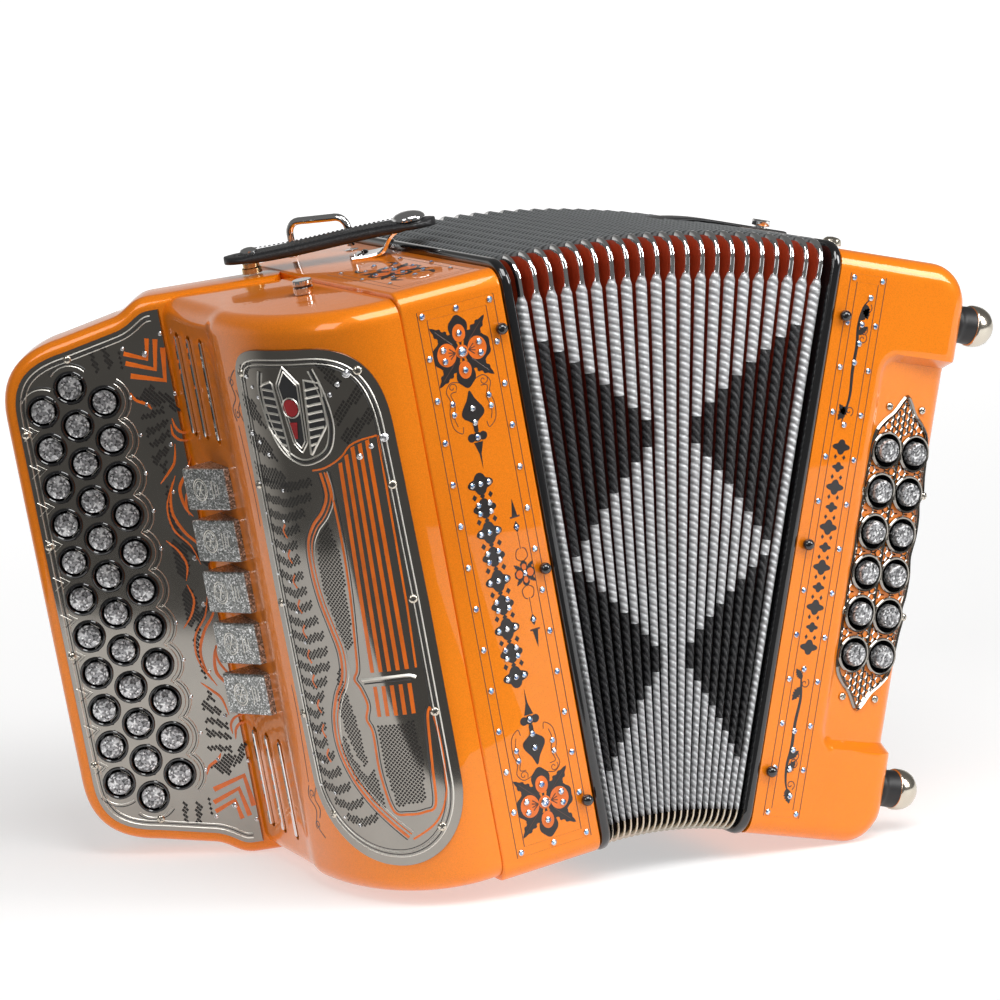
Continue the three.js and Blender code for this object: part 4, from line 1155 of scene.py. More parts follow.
# slim side ornament: a small flower between two hairline spikes
cx = -9.6
flower_black(ink, panel, cx, 0, 0.36, 0.1)
flower_orange(petals, panel, cx, 0, 0.36, 0.13)
gem(gems, panel, cx, 0, 1.3, 0.12)
for s in (1, -1):
    for side in (1, -1):
        stroke(thin, panel, through([(cx + side * 0.6, s * 6), (cx + side * 3, s * 8), (cx + side * 2.4, s * 11.5),
                                     (cx + side * 0.8, s * 12.5)], 7), 0.5, 0.05, 0.03)
    stroke(thin, panel, [(cx, s * 12), (cx, s * 20)], 0.35, 0.05, 0.03)
    fill(ink, panel, [orient([(cx - 1.7, s * 23), (cx, s * 20.2), (cx + 1.7, s * 23), (cx, s * 26)])], 0.1)
    gem(gems, panel, cx, s * 23, 1.2, 0.12)
    fill(ink, panel, [orient([(cx - 1.5, s * 28), (cx + 1.5, s * 28), (cx, s * 37)])], 0.1)
    stroke(thin, panel, [(cx - 2.6, s * 28), (cx + 2.6, s * 28)], 0.9, 0.05, 0.03)



def bellows_pins(heap, u, heights):
    ball = [(2.95 * math.cos(a), 2.2 + 2.95 * math.sin(a)) for a in [math.radians(d) for d in range(-50, 91, 10)]]
    for v in heights:
        put_lathe(heap, [(1.9, -0.2)] + ball, lambda x, y, z, v=v: (u + x, -z, v + y), 24)


pins = Heap()
bellows_pins(pins, 0.3, (118, 0.0, -117))
ink.done("treble_print_black", T, INK, "treble", None)
thin.done("treble_print_lines", T, LINE, "treble", None)
petals.done("treble_print_petals", T, CUTOUT, "treble", None)
gems.done("treble_front_stones", T, [STONE, SETTING], "treble", None)
pins.done("treble_bellows_pins", T, BLACK, "treble", "black_gloss", sharp=50)


# ---------------------------------------------------------------- registers
REG_Z = [(2 - i) * 26.3 + 1.6 for i in range(5)]
TAB_PLAN = [(-104.0, 131.0), (-121.5, 131.0), (-122.6, 130.6), (-122.9, 129.6), (-122.6, 128.6), (-112.0, 105.6),
            (-111.0, 104.6), (-104.0, 104.5)]
TAB_EDGE = [(10.5, 0.9), (10.2, 0.35), (9.6, 0.0)]
TAB_U = Vector((-112.0 - -122.6, 105.6 - 128.6)).normalized()
for i, z in enumerate(REG_Z):
    name = f"register_{i + 1}"
    rings = [[(x, y, z + side * wide) for x, y in inset(orient(TAB_PLAN), d)] for side, wide, d in
             [(-1, w, d) for w, d in TAB_EDGE] + [(1, w, d) for w, d in TAB_EDGE[::-1]]]
    tab = hull(name + "_tab", rings, T, FINE_GLITTER, name, "silver_glitter", 25)
    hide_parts(name)

    def slope(u, v, h, z=z):
        return (-122.6 + TAB_U[0] * u + TAB_U[1] * h, 128.6 + TAB_U[1] * u - TAB_U[0] * h, z + v)

    mark = Heap()
    for r, w in ((5.6, 0.5), (4.4, 0.35)):
        stroke(mark, slope, [(9 + 0.78 * x, y) for x, y in arc(0, 0, r, 0, 360, 30)[:-1]], w, 0.12, 0.03, True)
    for k in range(6):
        a = math.radians(60 * k)
        stroke(mark, slope, [(9, 0), (9 + 0.78 * 3.4 * math.cos(a), 3.4 * math.sin(a))], 0.4, 0.12, 0.03)
    for k in range(3):
        stroke(mark, slope, [(17.2 + k * 1.9, -4.6 + k), (17.2 + k * 1.9, 4.6 - k)], 0.5, 0.12, 0.03)
    mark.done(name + "_mark", T, [CUT_BRIGHT], name, "silver_glitter")

# thin black scrolls printed beside the ridge
scrolls = Heap()


for s in (1, -1):
    for pts in ([(94.6, 118), (100.6, 112), (98.6, 104), (103.6, 98), (101.6, 92)],
                [(96.6, 108), (94.6, 103), (97.6, 98), (94.6, 92)]):
        stroke(scrolls, bulge_out, through([(u, s * v) for u, v in pts], 7), 0.7, 0.05, 0.05)
    for cv in (112, 96):
        stroke(scrolls, bulge_out, spiral(99.5, s * cv, 0.5, 2.6, 0, s * 420), 0.55, 0.05, 0.05)
    path = through([(101, s * 90), (99.5, s * 70), (98.6, s * 52), (99.0, s * 40)])
    stroke(scrolls, bulge_out, path, 0.5, 0.05, 0.05)
scrolls.done("cover_scrolls", T, INK, "treble", None)

# ---------------------------------------------------------------- hardware on top of the treble half
HT = T @ Matrix.Translation((-58 * MM, 153 * MM, HALF * MM)) @ Matrix.Rotation(math.atan2(-49, 67), 4, "Z")
RUN = math.hypot(67, 49)


def lift(x):
    t = min(max(x / RUN, 0), 1)
    return 5.2 + 4.6 * t * t * (3 - 2 * t)


END_ROUND = 13.0


def handle_half(x):
    """Half width along the strap, with round ends."""
    over = max(-x, x - RUN, 0)
    wide = 11.0 - 1.2 * math.sin(math.pi * min(max((x + END_ROUND) / (RUN + 2 * END_ROUND), 0), 1))
    return wide * math.sqrt(max(1 - (over / END_ROUND) ** 2, 0.0004))


section = pillow_section(28, 0.42, 0.7)
rings = []
stations = [-END_ROUND + END_ROUND * (1 - math.cos(math.pi / 2 * k / 7)) for k in range(7)]
stations += [RUN * k / 22 for k in range(23)]
stations += [RUN + END_ROUND * math.sin(math.pi / 2 * k / 7) for k in range(1, 8)]
for x in stations:
    x = min(x, RUN + END_ROUND - 0.02)
    w = handle_half(x)
    pad = 3.0 * (0.72 + 0.28 * math.sin(math.pi * min(max(x / RUN, 0), 1)) ** 0.5) * (1 if 0 < x < RUN else 0.9)
    rings.append([(x, w * c, lift(x) + 3.0 + pad * s) for c, s in section])
handle = hull("carry_handle_leather", rings, HT, LEATHER, None, "black_leather", 70)
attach(handle, "treble")
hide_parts("carry_handle")
stitches = Heap()
for side in (1, -1):
    n = 40
    for k in range(n):
        x0 = -6 + (RUN + 12) * k / n
        x1 = x0 + (RUN + 12) / n * 0.62
        ya, yb = side * (handle_half(x0) - 2.2), side * (handle_half(x1) - 2.2)
        za, zb = lift(x0) + 5.62, lift(x1) + 5.62
        w = 0.35
        verts = [(x0, ya - w, za), (x1, yb - w, zb), (x1, yb + w, zb), (x0, ya + w, za),
                 (x0 + 0.3, ya, za + 0.5), (x1 - 0.3, yb, zb + 0.5)]
        stitches.put(verts, [(0, 1, 5, 4), (3, 4, 5, 2), (0, 4, 3), (1, 2, 5)])
stitches.done("handle_stitching", HT, THREAD, "treble", "black_leather")
hardware = Heap()
put_lathe(hardware, [(5.0, 0), (5.0, 2.6), (4.4, 3.0), (0.1, 3.0)], at(0, 0, 0.2), 28)
put_lathe(hardware, [(4.2, 0), (4.2, 2.1), (0.1, 2.2)], at(0, 0, 3.2), 28)
put_lathe(hardware, [(4.4, 0), (4.4, 0.7), (3.6, 1.6), (2.0, 2.2), (0.1, 2.4)], at(0, 0, lift(0) + 5.6), 24, 1)
put_lathe(hardware, [(8.2, 0), (8.4, 0.8), (7.9, 2.0), (6.2, 3.2), (3.6, 4.0), (0.1, 4.3)],
          at(RUN, 0, lift(RUN) + 5.4), 32, 1)
hardware.done("handle_fittings", HT, [BRASS, CHROME], "treble", "polished_chrome", sharp=40)
line = through([(RUN - 30, 0.9), (RUN - 21, 0.9), (RUN - 14, 2.4), (RUN - 9.5, 8.2), (RUN - 5, 11.4),
                (RUN + 2, 12.2), (RUN + 8, 12.2)], 6)
rings = [[(xa, -7.4, za), (xa, 7.4, za), (xa, 7.9, (za + zb) / 2), (xb, 7.4, zb), (xb, -7.4, zb),
          (xa, -7.9, (za + zb) / 2)] for (xa, za), (xb, zb) in zip(offset_open(line, -0.9), offset_open(line, 0.9))]
bracket = hull("handle_bracket_bent", rings, HT, CHROME, "treble", "polished_chrome", 45)
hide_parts("handle_bracket")
small = Heap()
for y in (-4.6, 4.6):
    screw(small, at(RUN - 26, y, 0), 0, 0, 2.0, 1.8)
small.done("bracket_screws", HT, [CHROME, CUT_DARK_AND_SLOT_SHADE], "treble", "polished_chrome")

# strap ring on its own body, with two eyes on the casing
RING = T @ Matrix.Translation(Vector((-16.5, 159.5, HALF + 2.3)) * MM) @ Matrix.Rotation(math.atan2(-25, 21), 4, "Z")
span = math.hypot(21, 25) / 2
path = [(-span, 0.0), (-span, 9.0)]
path += [(-span + 6 - 6 * math.cos(math.radians(a)), 9 + 6 * math.sin(math.radians(a))) for a in range(15, 91, 15)]
path += [(-x, z) for x, z in path[::-1]]
rings = []
for k, (x, z) in enumerate(path):
    a, b = path[max(k - 1, 0)], path[min(k + 1, len(path) - 1)]
    t = Vector((b[0] - a[0], 0, b[1] - a[1])).normalized()
    n = Vector((-t.z, 0, t.x))
    rings.append([(x + n.x * c, s, z + n.z * c) for c, s, _ in circle(0, 0, 1.95, 0, 14)])
ring = hull("strap_ring_wire", rings, RING, CHROME, "strap_ring", "polished_chrome", 50)
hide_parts("strap_ring")
eyes = Heap()
for x in (-span, span):
    put_lathe(eyes, [(3.4, 0), (3.4, 0.1), (3.2, 0.2), (0.1, 0.2)], at(x, 0, -2.2), 20)
eyes.done("strap_ring_eyes", RING, CHROME, "treble", "polished_chrome")

# thumbscrew of the cover
KN = T @ Matrix.Translation((-64 * MM, 75 * MM, 143.8 * MM))
KNURL = 0.16
rings = []
for r, h in ((4.5, 0.2), (4.5, 0.9), (4.7, 1.0), (4.7, 3.2), (4.1, 3.4), (4.1, 4.3), (4.7, 4.5), (4.7, 6.6),
             (4.4, 7.0), (0.1, 7.0)):
    low, high = circle(0, 0, r, h, 48), circle(0, 0, r + (KNURL if 1.0 <= h <= 6.6 else 0), h, 48)
    rings.append([(high if i % 2 else low)[i] for i in range(48)])
knob = hull("cover_knob_knurled", rings, KN, [CHROME, BLACK], "cover_knob", "polished_chrome", 30)
knob.data.polygons.foreach_set("material_index", [int(3.3 * MM < p.center.z < 4.4 * MM and p.normal.z < 0.5)
                                                  for p in knob.data.polygons])
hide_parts("cover_knob")

# ornament on the casing's top face
TOP = T @ Matrix.Translation((0, 0, HALF * MM))
tink, tgems, tthin, tpetals = Heap(), Heap(), Heap(), Heap()


for d in (0, 3.6):
    stroke(tthin, flat, [(-42 + d, 14 + d), (-1 - d, 14 + d), (-1 - d, 96 - d), (-42 + d, 96 - d)],
           0.4, 0.04, 0.02, True)
flower_black(tink, flat, -22, 60, 0.9, 0.05)
flower_orange(tpetals, flat, -22, 60, 0.9, 0.08)
for s in (1, -1):
    for side in (1, -1):
        leaf_stroke(tink, flat, [(-22 + side * dx, 60 + s * dy) for dx, dy in ((4, 16), (10, 20), (8, 28))],
                    2.4, 0.05, base=0.03)
for u, v, r in ((-22, 60, 1.9), (-22, 70, 1.4), (-22, 50, 1.4), (-12, 60, 1.4), (-32, 60, 1.4), (-30, 44, 1.3),
                (-14, 44, 1.3), (-30, 76, 1.3), (-14, 76, 1.3), (-22, 84, 1.5), (-22, 36, 1.5), (-38, 30, 1.2),
                (-6, 30, 1.2), (-38, 88, 1.2), (-6, 88, 1.2), (-40, 58, 1.2), (-3, 58, 1.2)):
    gem(tgems, flat, u, v, r, 0.05)
tink.done("top_print_black", TOP, INK, "treble", None)
tpetals.done("top_print_petals", TOP, CUTOUT, "treble", None)
tthin.done("top_print_lines", TOP, LINE, "treble", None)
tgems.done("top_stones", TOP, [STONE, SETTING], "treble", None)


# ---------------------------------------------------------------- bellows frames
def bellows_frame(name, node, x0, x1, matrix, body):
    r = 2.2
    levels = [(x0 + r - r * math.cos(a), r * (1 - math.sin(a))) for a in [math.pi / 2 * k / 6 for k in range(7)]]
    levels += [(x1 - (x - x0), i) for x, i in reversed(levels)]
    outer = [[(x, y, z) for y, z in rounded(-1.2 + i, 185.2 - i, -147.2 + i, 149.2 - i, 13.2 - i)]
             for x, i in levels]
    inner = [[(x, y, z) for y, z in rounded(11.8, 172.2, -134.2, 134.2, 1)] for x, _ in reversed(levels)]
    ring = hull(name, outer + inner, matrix, BLACK, body, "black_gloss", caps=False, wrap=True)
    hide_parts(node)


bellows_frame("treble_frame_gloss", "treble_bellows_frame", 5.3, 10.5, T, "treble")
bellows_frame("bass_frame_gloss", "bass_bellows_frame", -11.5, -6.3, B, "bass")

# ---------------------------------------------------------------- bellows
# one mesh a fold, spread over the fan angle round a pivot under the bottom of the halves
FOLDS = 21
FANR = math.radians(FAN)
Q = T @ Matrix.Translation((10.8 * MM, 0, -PIVOT_Z * MM))
EDGE = 0.09 / 180 * math.pi
STEP = (FANR - 2 * EDGE) / FOLDS


Y_BACK, Z_LOW, Z_HIGH, ROUND = 182.5, PIVOT_Z - HALF, PIVOT_Z + HALF + 3.0, 12.0
HEIGHT = Z_HIGH - Z_LOW
# half of a fold across, as (share of a step, depth): a bare metal corner tube, and a taped edge between two cards
TUBE = [(-0.5, 12.0), (-0.40, 8.2), (-0.30, 4.6), (-0.18, 2.4), (-0.16, 1.1), (-0.10, 0.25), (0, 0.0)]
TAPED = [(-0.5, 12.0), (-0.44, 7.6), (-0.385, 4.4), (-0.375, 2.7), (-0.28, 1.15), (-0.15, 0.3), (0, 0.0)]


def dark_spans(k):
    """Where the black diamonds' tape runs on fold k, in percent of the height from the top."""
    mirrored = min(k + 1, 21 - k)
    if not 2 <= mirrored <= 9:
        return []
    d = 2.25 * (mirrored - 2)
    return [(14.5 + d, 50.5 - d), (53 + d * 0.94, 87 - d * 0.94)]


def perimeter(spans):
    """Stations round the bellows: y, z, inward normal and side at the outer edge, from the front's bottom."""
    out = []

    def straight(a, b, normal, side, stops):
        for t in stops:
            out.append((a[0] + (b[0] - a[0]) * t, a[1] + (b[1] - a[1]) * t, normal, side))

    def bend(cy, cz, a0, side):
        for i in range(7):
            a = math.radians(a0 - 90 * i / 6)
            out.append((cy + ROUND * math.cos(a), cz + ROUND * math.sin(a), (-math.cos(a), -math.sin(a)), side))

    end = (ROUND + 0.01) / HEIGHT
    stops = [float(t) for t in np.linspace(end, 1 - end, 74)]
    for t in [1 - p / 100 for span in spans for p in span]:
        stops[min(range(len(stops)), key=lambda i: abs(stops[i] - t))] = t
    straight((1.5, Z_LOW), (1.5, Z_HIGH), (1, 0), "front", sorted(stops))
    bend(ROUND + 1.5, Z_HIGH - ROUND, 180, "corner_top")
    straight((ROUND + 1.8, Z_HIGH), (Y_BACK - ROUND - 0.3, Z_HIGH), (0, -1), "top", np.linspace(0, 1, 24))
    bend(Y_BACK - ROUND, Z_HIGH - ROUND, 90, "corner_back")
    straight((Y_BACK, Z_HIGH - ROUND - 0.3), (Y_BACK, Z_LOW + ROUND + 0.3), (-1, 0), "back", np.linspace(0, 1, 30))
    bend(Y_BACK - ROUND, Z_LOW + ROUND, 0, "corner_back")
    straight((Y_BACK - ROUND - 0.3, Z_LOW), (ROUND + 1.8, Z_LOW), (0, 1), "bottom", np.linspace(0, 1, 16))
    bend(ROUND + 1.5, Z_LOW + ROUND, -90, "corner_bottom")
    return out


def in_metal(y, z, side):
    down = Z_HIGH - z
    return side.startswith("corner") or (side == "front" and (down < 23 or down > HEIGHT - 14)) \
        or (side == "top" and (y < 15 or y > Y_BACK - 17)) or (side == "back" and down < 30)


def bellows_fold(k):
    spans = dark_spans(k)
    rows = [(y, z, normal, side, in_metal(y, z, side)) for y, z, normal, side in perimeter(spans)]
    middle = EDGE + STEP * (k + 0.5)
    verts, uvs, faces, index = [], [], [], []
    dist = 0.0
    for i, (y, z, (ny, nz), side, tube) in enumerate(rows):
        if i:
            dist += math.hypot(y - rows[i - 1][0], z - rows[i - 1][1])
        half = TUBE if tube else TAPED
        for share, d in half + [(-share, d) for share, d in half[-2::-1]]:
            a = middle + share * STEP
            out = z + nz * d
            verts.append((out * math.sin(a), y + ny * d, out * math.cos(a)))
            uvs.append((dist, share / 0.375))
    m = 2 * len(TUBE) - 1
    for i, (y, z, _, side, tube) in enumerate(rows):
        j = (i + 1) % len(rows)
        percent = (Z_HIGH - (z + rows[j][1]) / 2) / HEIGHT * 100
        for q in range(m - 1):
            faces.append((i * m + q, i * m + q + 1, j * m + q + 1, j * m + q))
            if not 3 <= q <= 8:
                index.append(0)
            elif tube and rows[j][4]:
                index.append(4 if z > Z_LOW + 60 else 5)
            elif side in ("front", "back"):
                index.append(2 if side == "front" and any(a < percent < b for a, b in spans) else 1)
            else:
                index.append(3)
    cloth = [RED_CARD, SILVER_TAPE, BLACK_TAPE, GREY_TAPE, CHROME, NICKEL]
    obj = make(f"bellows_fold_{k + 1:02d}", verts, faces, Q, cloth, None, index, uvs, sharp=42)
    return turn_out(obj), middle


first_fold = None
for k in range(FOLDS):
    fold, middle = bellows_fold(k)
    share = (k + 0.5) / FOLDS
    lo, hi = 0.0, 1.0
    for _ in range(40):
        t = (lo + hi) / 2
        lo, hi = (t, hi) if 3 * t * t - 2 * t ** 3 < share else (lo, t)
    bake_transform(fold)
    first_fold = first_fold or fold
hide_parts("bellows")


# ---------------------------------------------------------------- bass casing
def bass_depth(x, z):
    """How far behind the front plane the bass face lies, apart from the rounding of its edges."""
    dx, dz = 25.0 - x, abs(z) - 99.0
    gap = math.hypot(max(dx + 10, 0), max(dz + 10, 0)) - 10 if dx > -10 and dz > -10 else max(dx, dz)
    t = min(max((0.6 - gap) / 5.0, 0), 1)
    floor = 2.5 + max(x - 24, 0) * math.tan(S)
    return floor * t * t * (3 - 2 * t)


def edge_gap(x, z):
    right, top = 70 - x, HALF - abs(z)
    if x > 50 and abs(z) > 126:
        return 20 - math.hypot(x - 50, abs(z) - 126)
    return min(right, top)


def bass_shell():
    fr = [0, 0.02, 0.1, 0.2, 0.3] + list(np.linspace(0.36, 0.9, 30))
    fr += [0.92, 0.94, 0.955, 0.968, 0.98, 0.988, 0.994, 1.0]
    near_edge = [137, 139.6, 141.6, 143.2, 144.4, 145.2, 145.8, 146]
    zs = [-z for z in near_edge[::-1]] + list(np.linspace(-133, 133, 134)) + near_edge
    nf, nz = len(fr), len(zs)
    verts = []
    for y_side in (0, 1):
        for z in zs:
            xr = 70.0 if abs(z) <= 126 else 50 + math.sqrt(max(400 - (abs(z) - 126) ** 2, 0))
            for f in fr:
                x = -6 + f * (xr + 6)
                d = min(max(edge_gap(x, z), 0), CORNER)
                round_off = CORNER - math.sqrt(max(CORNER ** 2 - (CORNER - d) ** 2, 0))
                y = round_off + bass_depth(x, z) if y_side == 0 else DEPTH - round_off
                verts.append((x, y, z))
    faces = []
    for s in (0, 1):
        base = s * nf * nz
        for i in range(nz - 1):
            for j in range(nf - 1):
                a = base + i * nf + j
                faces.append((a, a + 1, a + nf + 1, a + nf))
    loop = list(range(nf)) + [i * nf + nf - 1 for i in range(1, nz)]
    loop += [(nz - 1) * nf + j for j in range(nf - 2, -1, -1)] + [i * nf for i in range(nz - 2, 0, -1)]
    other = nf * nz
    for a, b in zip(loop, loop[1:] + loop[:1]):
        faces.append((a, b, b + other, a + other))
    return verts, faces


verts, faces = bass_shell()
bass = turn_out(make("bass_casing_shell", verts, faces, B, ORANGE, None, sharp=40))
BASS_PITCH = 20.5
BASS_AT = [(c, (13.9, 32.0)[c], (2.5 - i) * BASS_PITCH) for c in (0, 1) for i in range(6)]
carve(bass, well_cutter("bass_well_cutter", [(x, y) for _, x, y in BASS_AT], R, 7.6, -11.0, 20))
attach(bass, "bass")
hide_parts("bass_casing", "bass_reed_block")

feet = Heap()
for y in (14, 170):
    for z in (118, -118):
        def on_wall(u, v, h, y=y, z=z):
            return (70 + h, y + u, z + v)
        put_lathe(feet, [(9.0, -1), (9.4, 0.5), (9.4, 1.6), (8.9, 2.4), (9.2, 4.0), (9.5, 9.2), (9.6, 10.2)],
                  on_wall, 36)
        put_lathe(feet, [(9.6, 9.4), (10.2, 9.8), (10.4, 10.8), (10.4, 13.2), (9.9, 15.8), (8.6, 18.4), (6.3, 20.6),
                         (3.4, 21.9), (0.1, 22.3)], on_wall, 36, 1)
feet.done("bass_feet", B, [RUBBER, NICKEL], "bass", "black_gloss", sharp=50)

# filigree plate with raised rings round the buttons
MIDX = 22.95
bp = Heap()
quarter = [(7.45, 70.5), (12.95, 66), (17.75, 60), (19.35, 50), (20.15, 40), (21.35, 31), (19.55, 27), (20.75, 20),
           (20.95, 10)]
left = [(MIDX - x, y) for x, y in quarter] + [(3.4, 0)] + [(MIDX - x, -y) for x, y in quarter[::-1]]
edge = through([(MIDX, 79)] + left + [(MIDX, -79)] + [(2 * MIDX - x, y) for x, y in left[::-1]], 4, True)
edge = orient([(MIDX + (x - MIDX) * 0.93, y) for x, y in edge])
stroke(bp, flat, edge, 1.7, 1.0, 0.4, True)
stroke(bp, flat, inset(clean(edge), 1.4), 0.7, 0.5, 0.4, True)
# honeycomb lattice of short bars
cell = 2.15
for j in range(-44, 45):
    for i in range(-1, 14):
        u = 3 + i * cell * 1.53
        v = (j + (0.5 if i % 2 else 0)) * cell * math.sqrt(3)
        if abs(v) > 76 or not inside((u, v), edge) or any(math.hypot(u - x, v - y) < 9.5 for _, x, y in BASS_AT):
            continue
        for a in (0, 120, 240):
            ax, ay = cell * math.cos(math.radians(a)), cell * math.sin(math.radians(a))
            if inside((u + ax, v + ay), edge):
                stroke(bp, flat, [(u, v), (u + ax, v + ay)], 0.72, 0.4, 0.35)
for s in (1, -1):
    stroke(bp, flat, [(MIDX, s * 76), (MIDX, s * 55)], 1.3, 0.7, 0.5)
for s in (1, -1):
    for dx in (-6.5, -3.2, 3.2, 6.5):
        stroke(bp, flat, [(MIDX + dx, s * (74 - abs(dx) * 0.8)), (MIDX + dx, s * 60)], 1.1, 0.6, 0.5)
for k in range(5):
    y = (2 - k) * BASS_PITCH
    stroke(bp, flat, [(MIDX, y + 6), (MIDX, y - 6)], 1.8, 0.6, 0.5)
filigree = bp.done("bass_plate_filigree", R, [PLATE], "bass", "engraved_chrome", sharp=50)
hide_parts("bass_button_plate")

bcups = Heap()
for _, x, y in BASS_AT:
    for material, profile in enumerate((((9.1, 0.1), (9.5, 0.9), (9.5, 1.7), (9.0, 2.3), (8.3, 2.2), (8.0, 1.3)),
                                        ((8.0, 1.3), (7.55, 0.4), (7.5, -10.8), (0.2, -10.8)))):
        bcups.skin([circle(x, y, r, h, 44) for r, h in profile], material, caps=False)
make("bass_cups", bcups.verts, bcups.faces, R, [PLATE, BLACK], "bass", bcups.index)

for c in (0, 1):
    heap = Heap()
    for x, y in [(x, y) for column, x, y in BASS_AT if column == c]:
        put_lathe(heap, [(0.1, 5.2), (4.4, 5.1), (5.2, 4.8), (5.7, 4.0), (5.9, 2.6), (5.95, 0.6)], at(x, y, 0), 32)
        put_lathe(heap, [(5.95, 0.6), (6.0, 0.2), (6.0, -6.6), (0.1, -6.6)], at(x, y, 0), 32, 1)
    row = heap.done(f"bass_buttons_{c + 1}", R, [GLITTER, BLACK], f"bass_button_row_{c + 1}", "glitter")
    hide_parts(f"bass_button_row_{c + 1}")
bs = Heap()
for u, v in ((12.4, 73.0), (33.5, 73.0), (12.4, -73.0), (33.5, -73.0), (2.4, 30.8), (43.4, 30.8), (2.6, -30.8),
             (43.2, -30.8)):
    screw(bs, flat, u, v, 2.0, 0.5)
bs.done("bass_plate_screws", R, [NICKEL, CUT_DARK_AND_SLOT_SHADE], "bass", "polished_chrome")

# printed border and vines on the bass front
bink, bthin, bgems, bpins = Heap(), Heap(), Heap(), Heap()
ink, thin, gems = bink, bthin, bgems
frame_lines(0.0, 20.19, 135.25, 4.0, 1.45, 22.5)
for s in (1, -1):
    spine = [(13.0, s * 124), (9.8, s * 119), (8.6, s * 110), (9.6, s * 100), (9.4, s * 88), (10.2, s * 76),
             (9.0, s * 67), (7.8, s * 62)]
    leaf_stroke(bink, panel, spine, 1.6, 0.06, base=0.03)
    for u, v, a, size in ((10.6, 121, 200, 0.42), (9.4, 113, 330, 0.40), (9.0, 106, 310, 0.36), (9.6, 70, 150, 0.44),
                          (9.2, 66, 40, 0.34)):
        fill(bink, panel, [orient(rot(leaf(18.5, 4.6), a, u, s * v, s, size))], 0.08)
    for u, v, side in ((12.4, 119, 1), (12.0, 108, 1), (12.2, 104, 1), (11.2, 68, -1)):
        stroke(bthin, panel, spiral(u, s * v, 0.4, 2.6, 0, side * s * 420), 0.5, 0.05, 0.03)
    for u, v in ((13.0, 124.5), (10.4, 111.0), (10.6, 101.5), (9.6, 92.0), (9.4, 61.0)):
        gem(bgems, panel, u, s * v, 1.5, 0.1)
for k in range(11):
    cy = -50 + 10 * k
    r1, r2 = (5.0, 3.9) if k % 2 == 0 else (3.4, 2.6)
    star = []
    for j in range(24):
        a = 2 * math.pi * j / 24
        r = 0.62 + 0.38 * abs(math.cos(2 * a)) ** 1.8
        star.append((10.1 + r1 * r * math.cos(a), cy + r2 * r * math.sin(a)))
    fill(bink, panel, [star], 0.08)
    if k < 10:
        for dx in (-2.4, 2.4):
            fill(bink, panel, [[(10.1 + dx - 0.9, cy + 5), (10.1 + dx, cy + 3.7), (10.1 + dx + 0.9, cy + 5),
                                (10.1 + dx, cy + 6.3)]], 0.08)
bellows_pins(bpins, -0.6, (114, 0.5, -113))
bink.done("bass_print_black", B, INK, "bass", None)
bthin.done("bass_print_lines", B, LINE, "bass", None)
bgems.done("bass_front_stones", B, [STONE, SETTING], "bass", None)
bpins.done("bass_bellows_pins", B, BLACK, "bass", "black_gloss", sharp=50)

# hand strap, air button, bellows strap
section = pillow_section(24, 0.35, 0.8)
REACH, STRAP_Y, PARTS = 112, 128, 48
line = [(70.5 + (34 * math.sin(math.pi / 2 * (1 - abs(z) / REACH)) ** 0.8 if abs(z) < REACH else 0), z)
        for z in [REACH * (1 - 2 * k / PARTS) for k in range(PARTS + 1)]]
away = [(nx - x, nz - z) for (x, z), (nx, nz) in zip(line, offset_open(line, -1))]
rings = [[(x + 2.7 + dx * 2.3 * s, STRAP_Y + 27.5 * c, z + dz * 2.3 * s) for c, s in section]
         for (x, z), (dx, dz) in zip(line, away)]
strap = hull("hand_strap_leather", rings, B, LEATHER, None, "black_leather", 70)
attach(strap, "bass")
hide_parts("hand_strap")
seam = Heap()
for side in (1, -1):
    for k in range(96):
        t0 = 0.02 + 0.96 * k / 96
        t1 = t0 + 0.006
        pts = []
        for t in (t0, t1):
            i = min(int(t * PARTS), PARTS - 1)
            w = t * PARTS - i
            (x, z), (dx, dz) = ([a * (1 - w) + b * w for a, b in zip(pair[i], pair[i + 1])] for pair in (line, away))
            out = 2.35 if dx > 0 else -2.35
            pts.append((x + 2.7 + out * dx, z + out * dz))
        y = STRAP_Y + side * 22.5
        (xa, za), (xb, zb) = pts
        seam.put([(xa, y - 0.35, za), (xb, y - 0.35, zb), (xb, y + 0.35, zb), (xa, y + 0.35, za),
                  (xa + 0.4, y, za), (xb + 0.4, y, zb)], [(0, 1, 5, 4), (3, 4, 5, 2), (0, 4, 3), (1, 2, 5)])
seam.done("hand_strap_stitching", B, THREAD, "bass", "black_leather")

AIR = B @ Matrix.Translation((70 * MM, 94 * MM, 70 * MM)) @ Matrix.Rotation(math.pi / 2, 4, "Y")
profile = [(0.1, 9.0), (6.6, 9.0), (8.2, 8.5), (8.9, 7.4), (9.0, 5.6), (8.4, 4.8), (4.2, 4.7), (4.2, -10),
           (0.1, -10)]
air = hull("air_button_cap", lathe(profile, 40), AIR, CHROME, "air_button", "polished_chrome")
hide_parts("air_button")

rings = []
for k in range(31):
    x = -58 + 78 * k / 30
    wide = 11 if 0 < k < 30 else 10.4
    sag = 5.0 * (max(-22 - x, 0) / 36) ** 2
    rings.append([(x, 115 + wide * c, 149.6 - sag + 1.05 * s) for c, s in section])
stow = hull("bellows_strap_leather", rings, B, LEATHER, None, "black_leather", 70)
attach(stow, "bass")
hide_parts("bellows_strap")
studs = Heap()
put_lathe(studs, [(3.2, -1), (3.2, 0.8), (4.6, 1.0), (4.8, 1.5), (4.8, 3.6), (4.4, 4.0), (0.1, 4.1)],
          at(6, 108, 150.6), 30)
put_lathe(studs, [(4.6, 0), (4.8, 1.2), (4.4, 2.8), (2.9, 3.9), (0.1, 4.3)], at(-5, 15, 147.0), 30, 1)
studs.done("bellows_strap_studs", B, [CHROME, NICKEL], "bass", "polished_chrome")

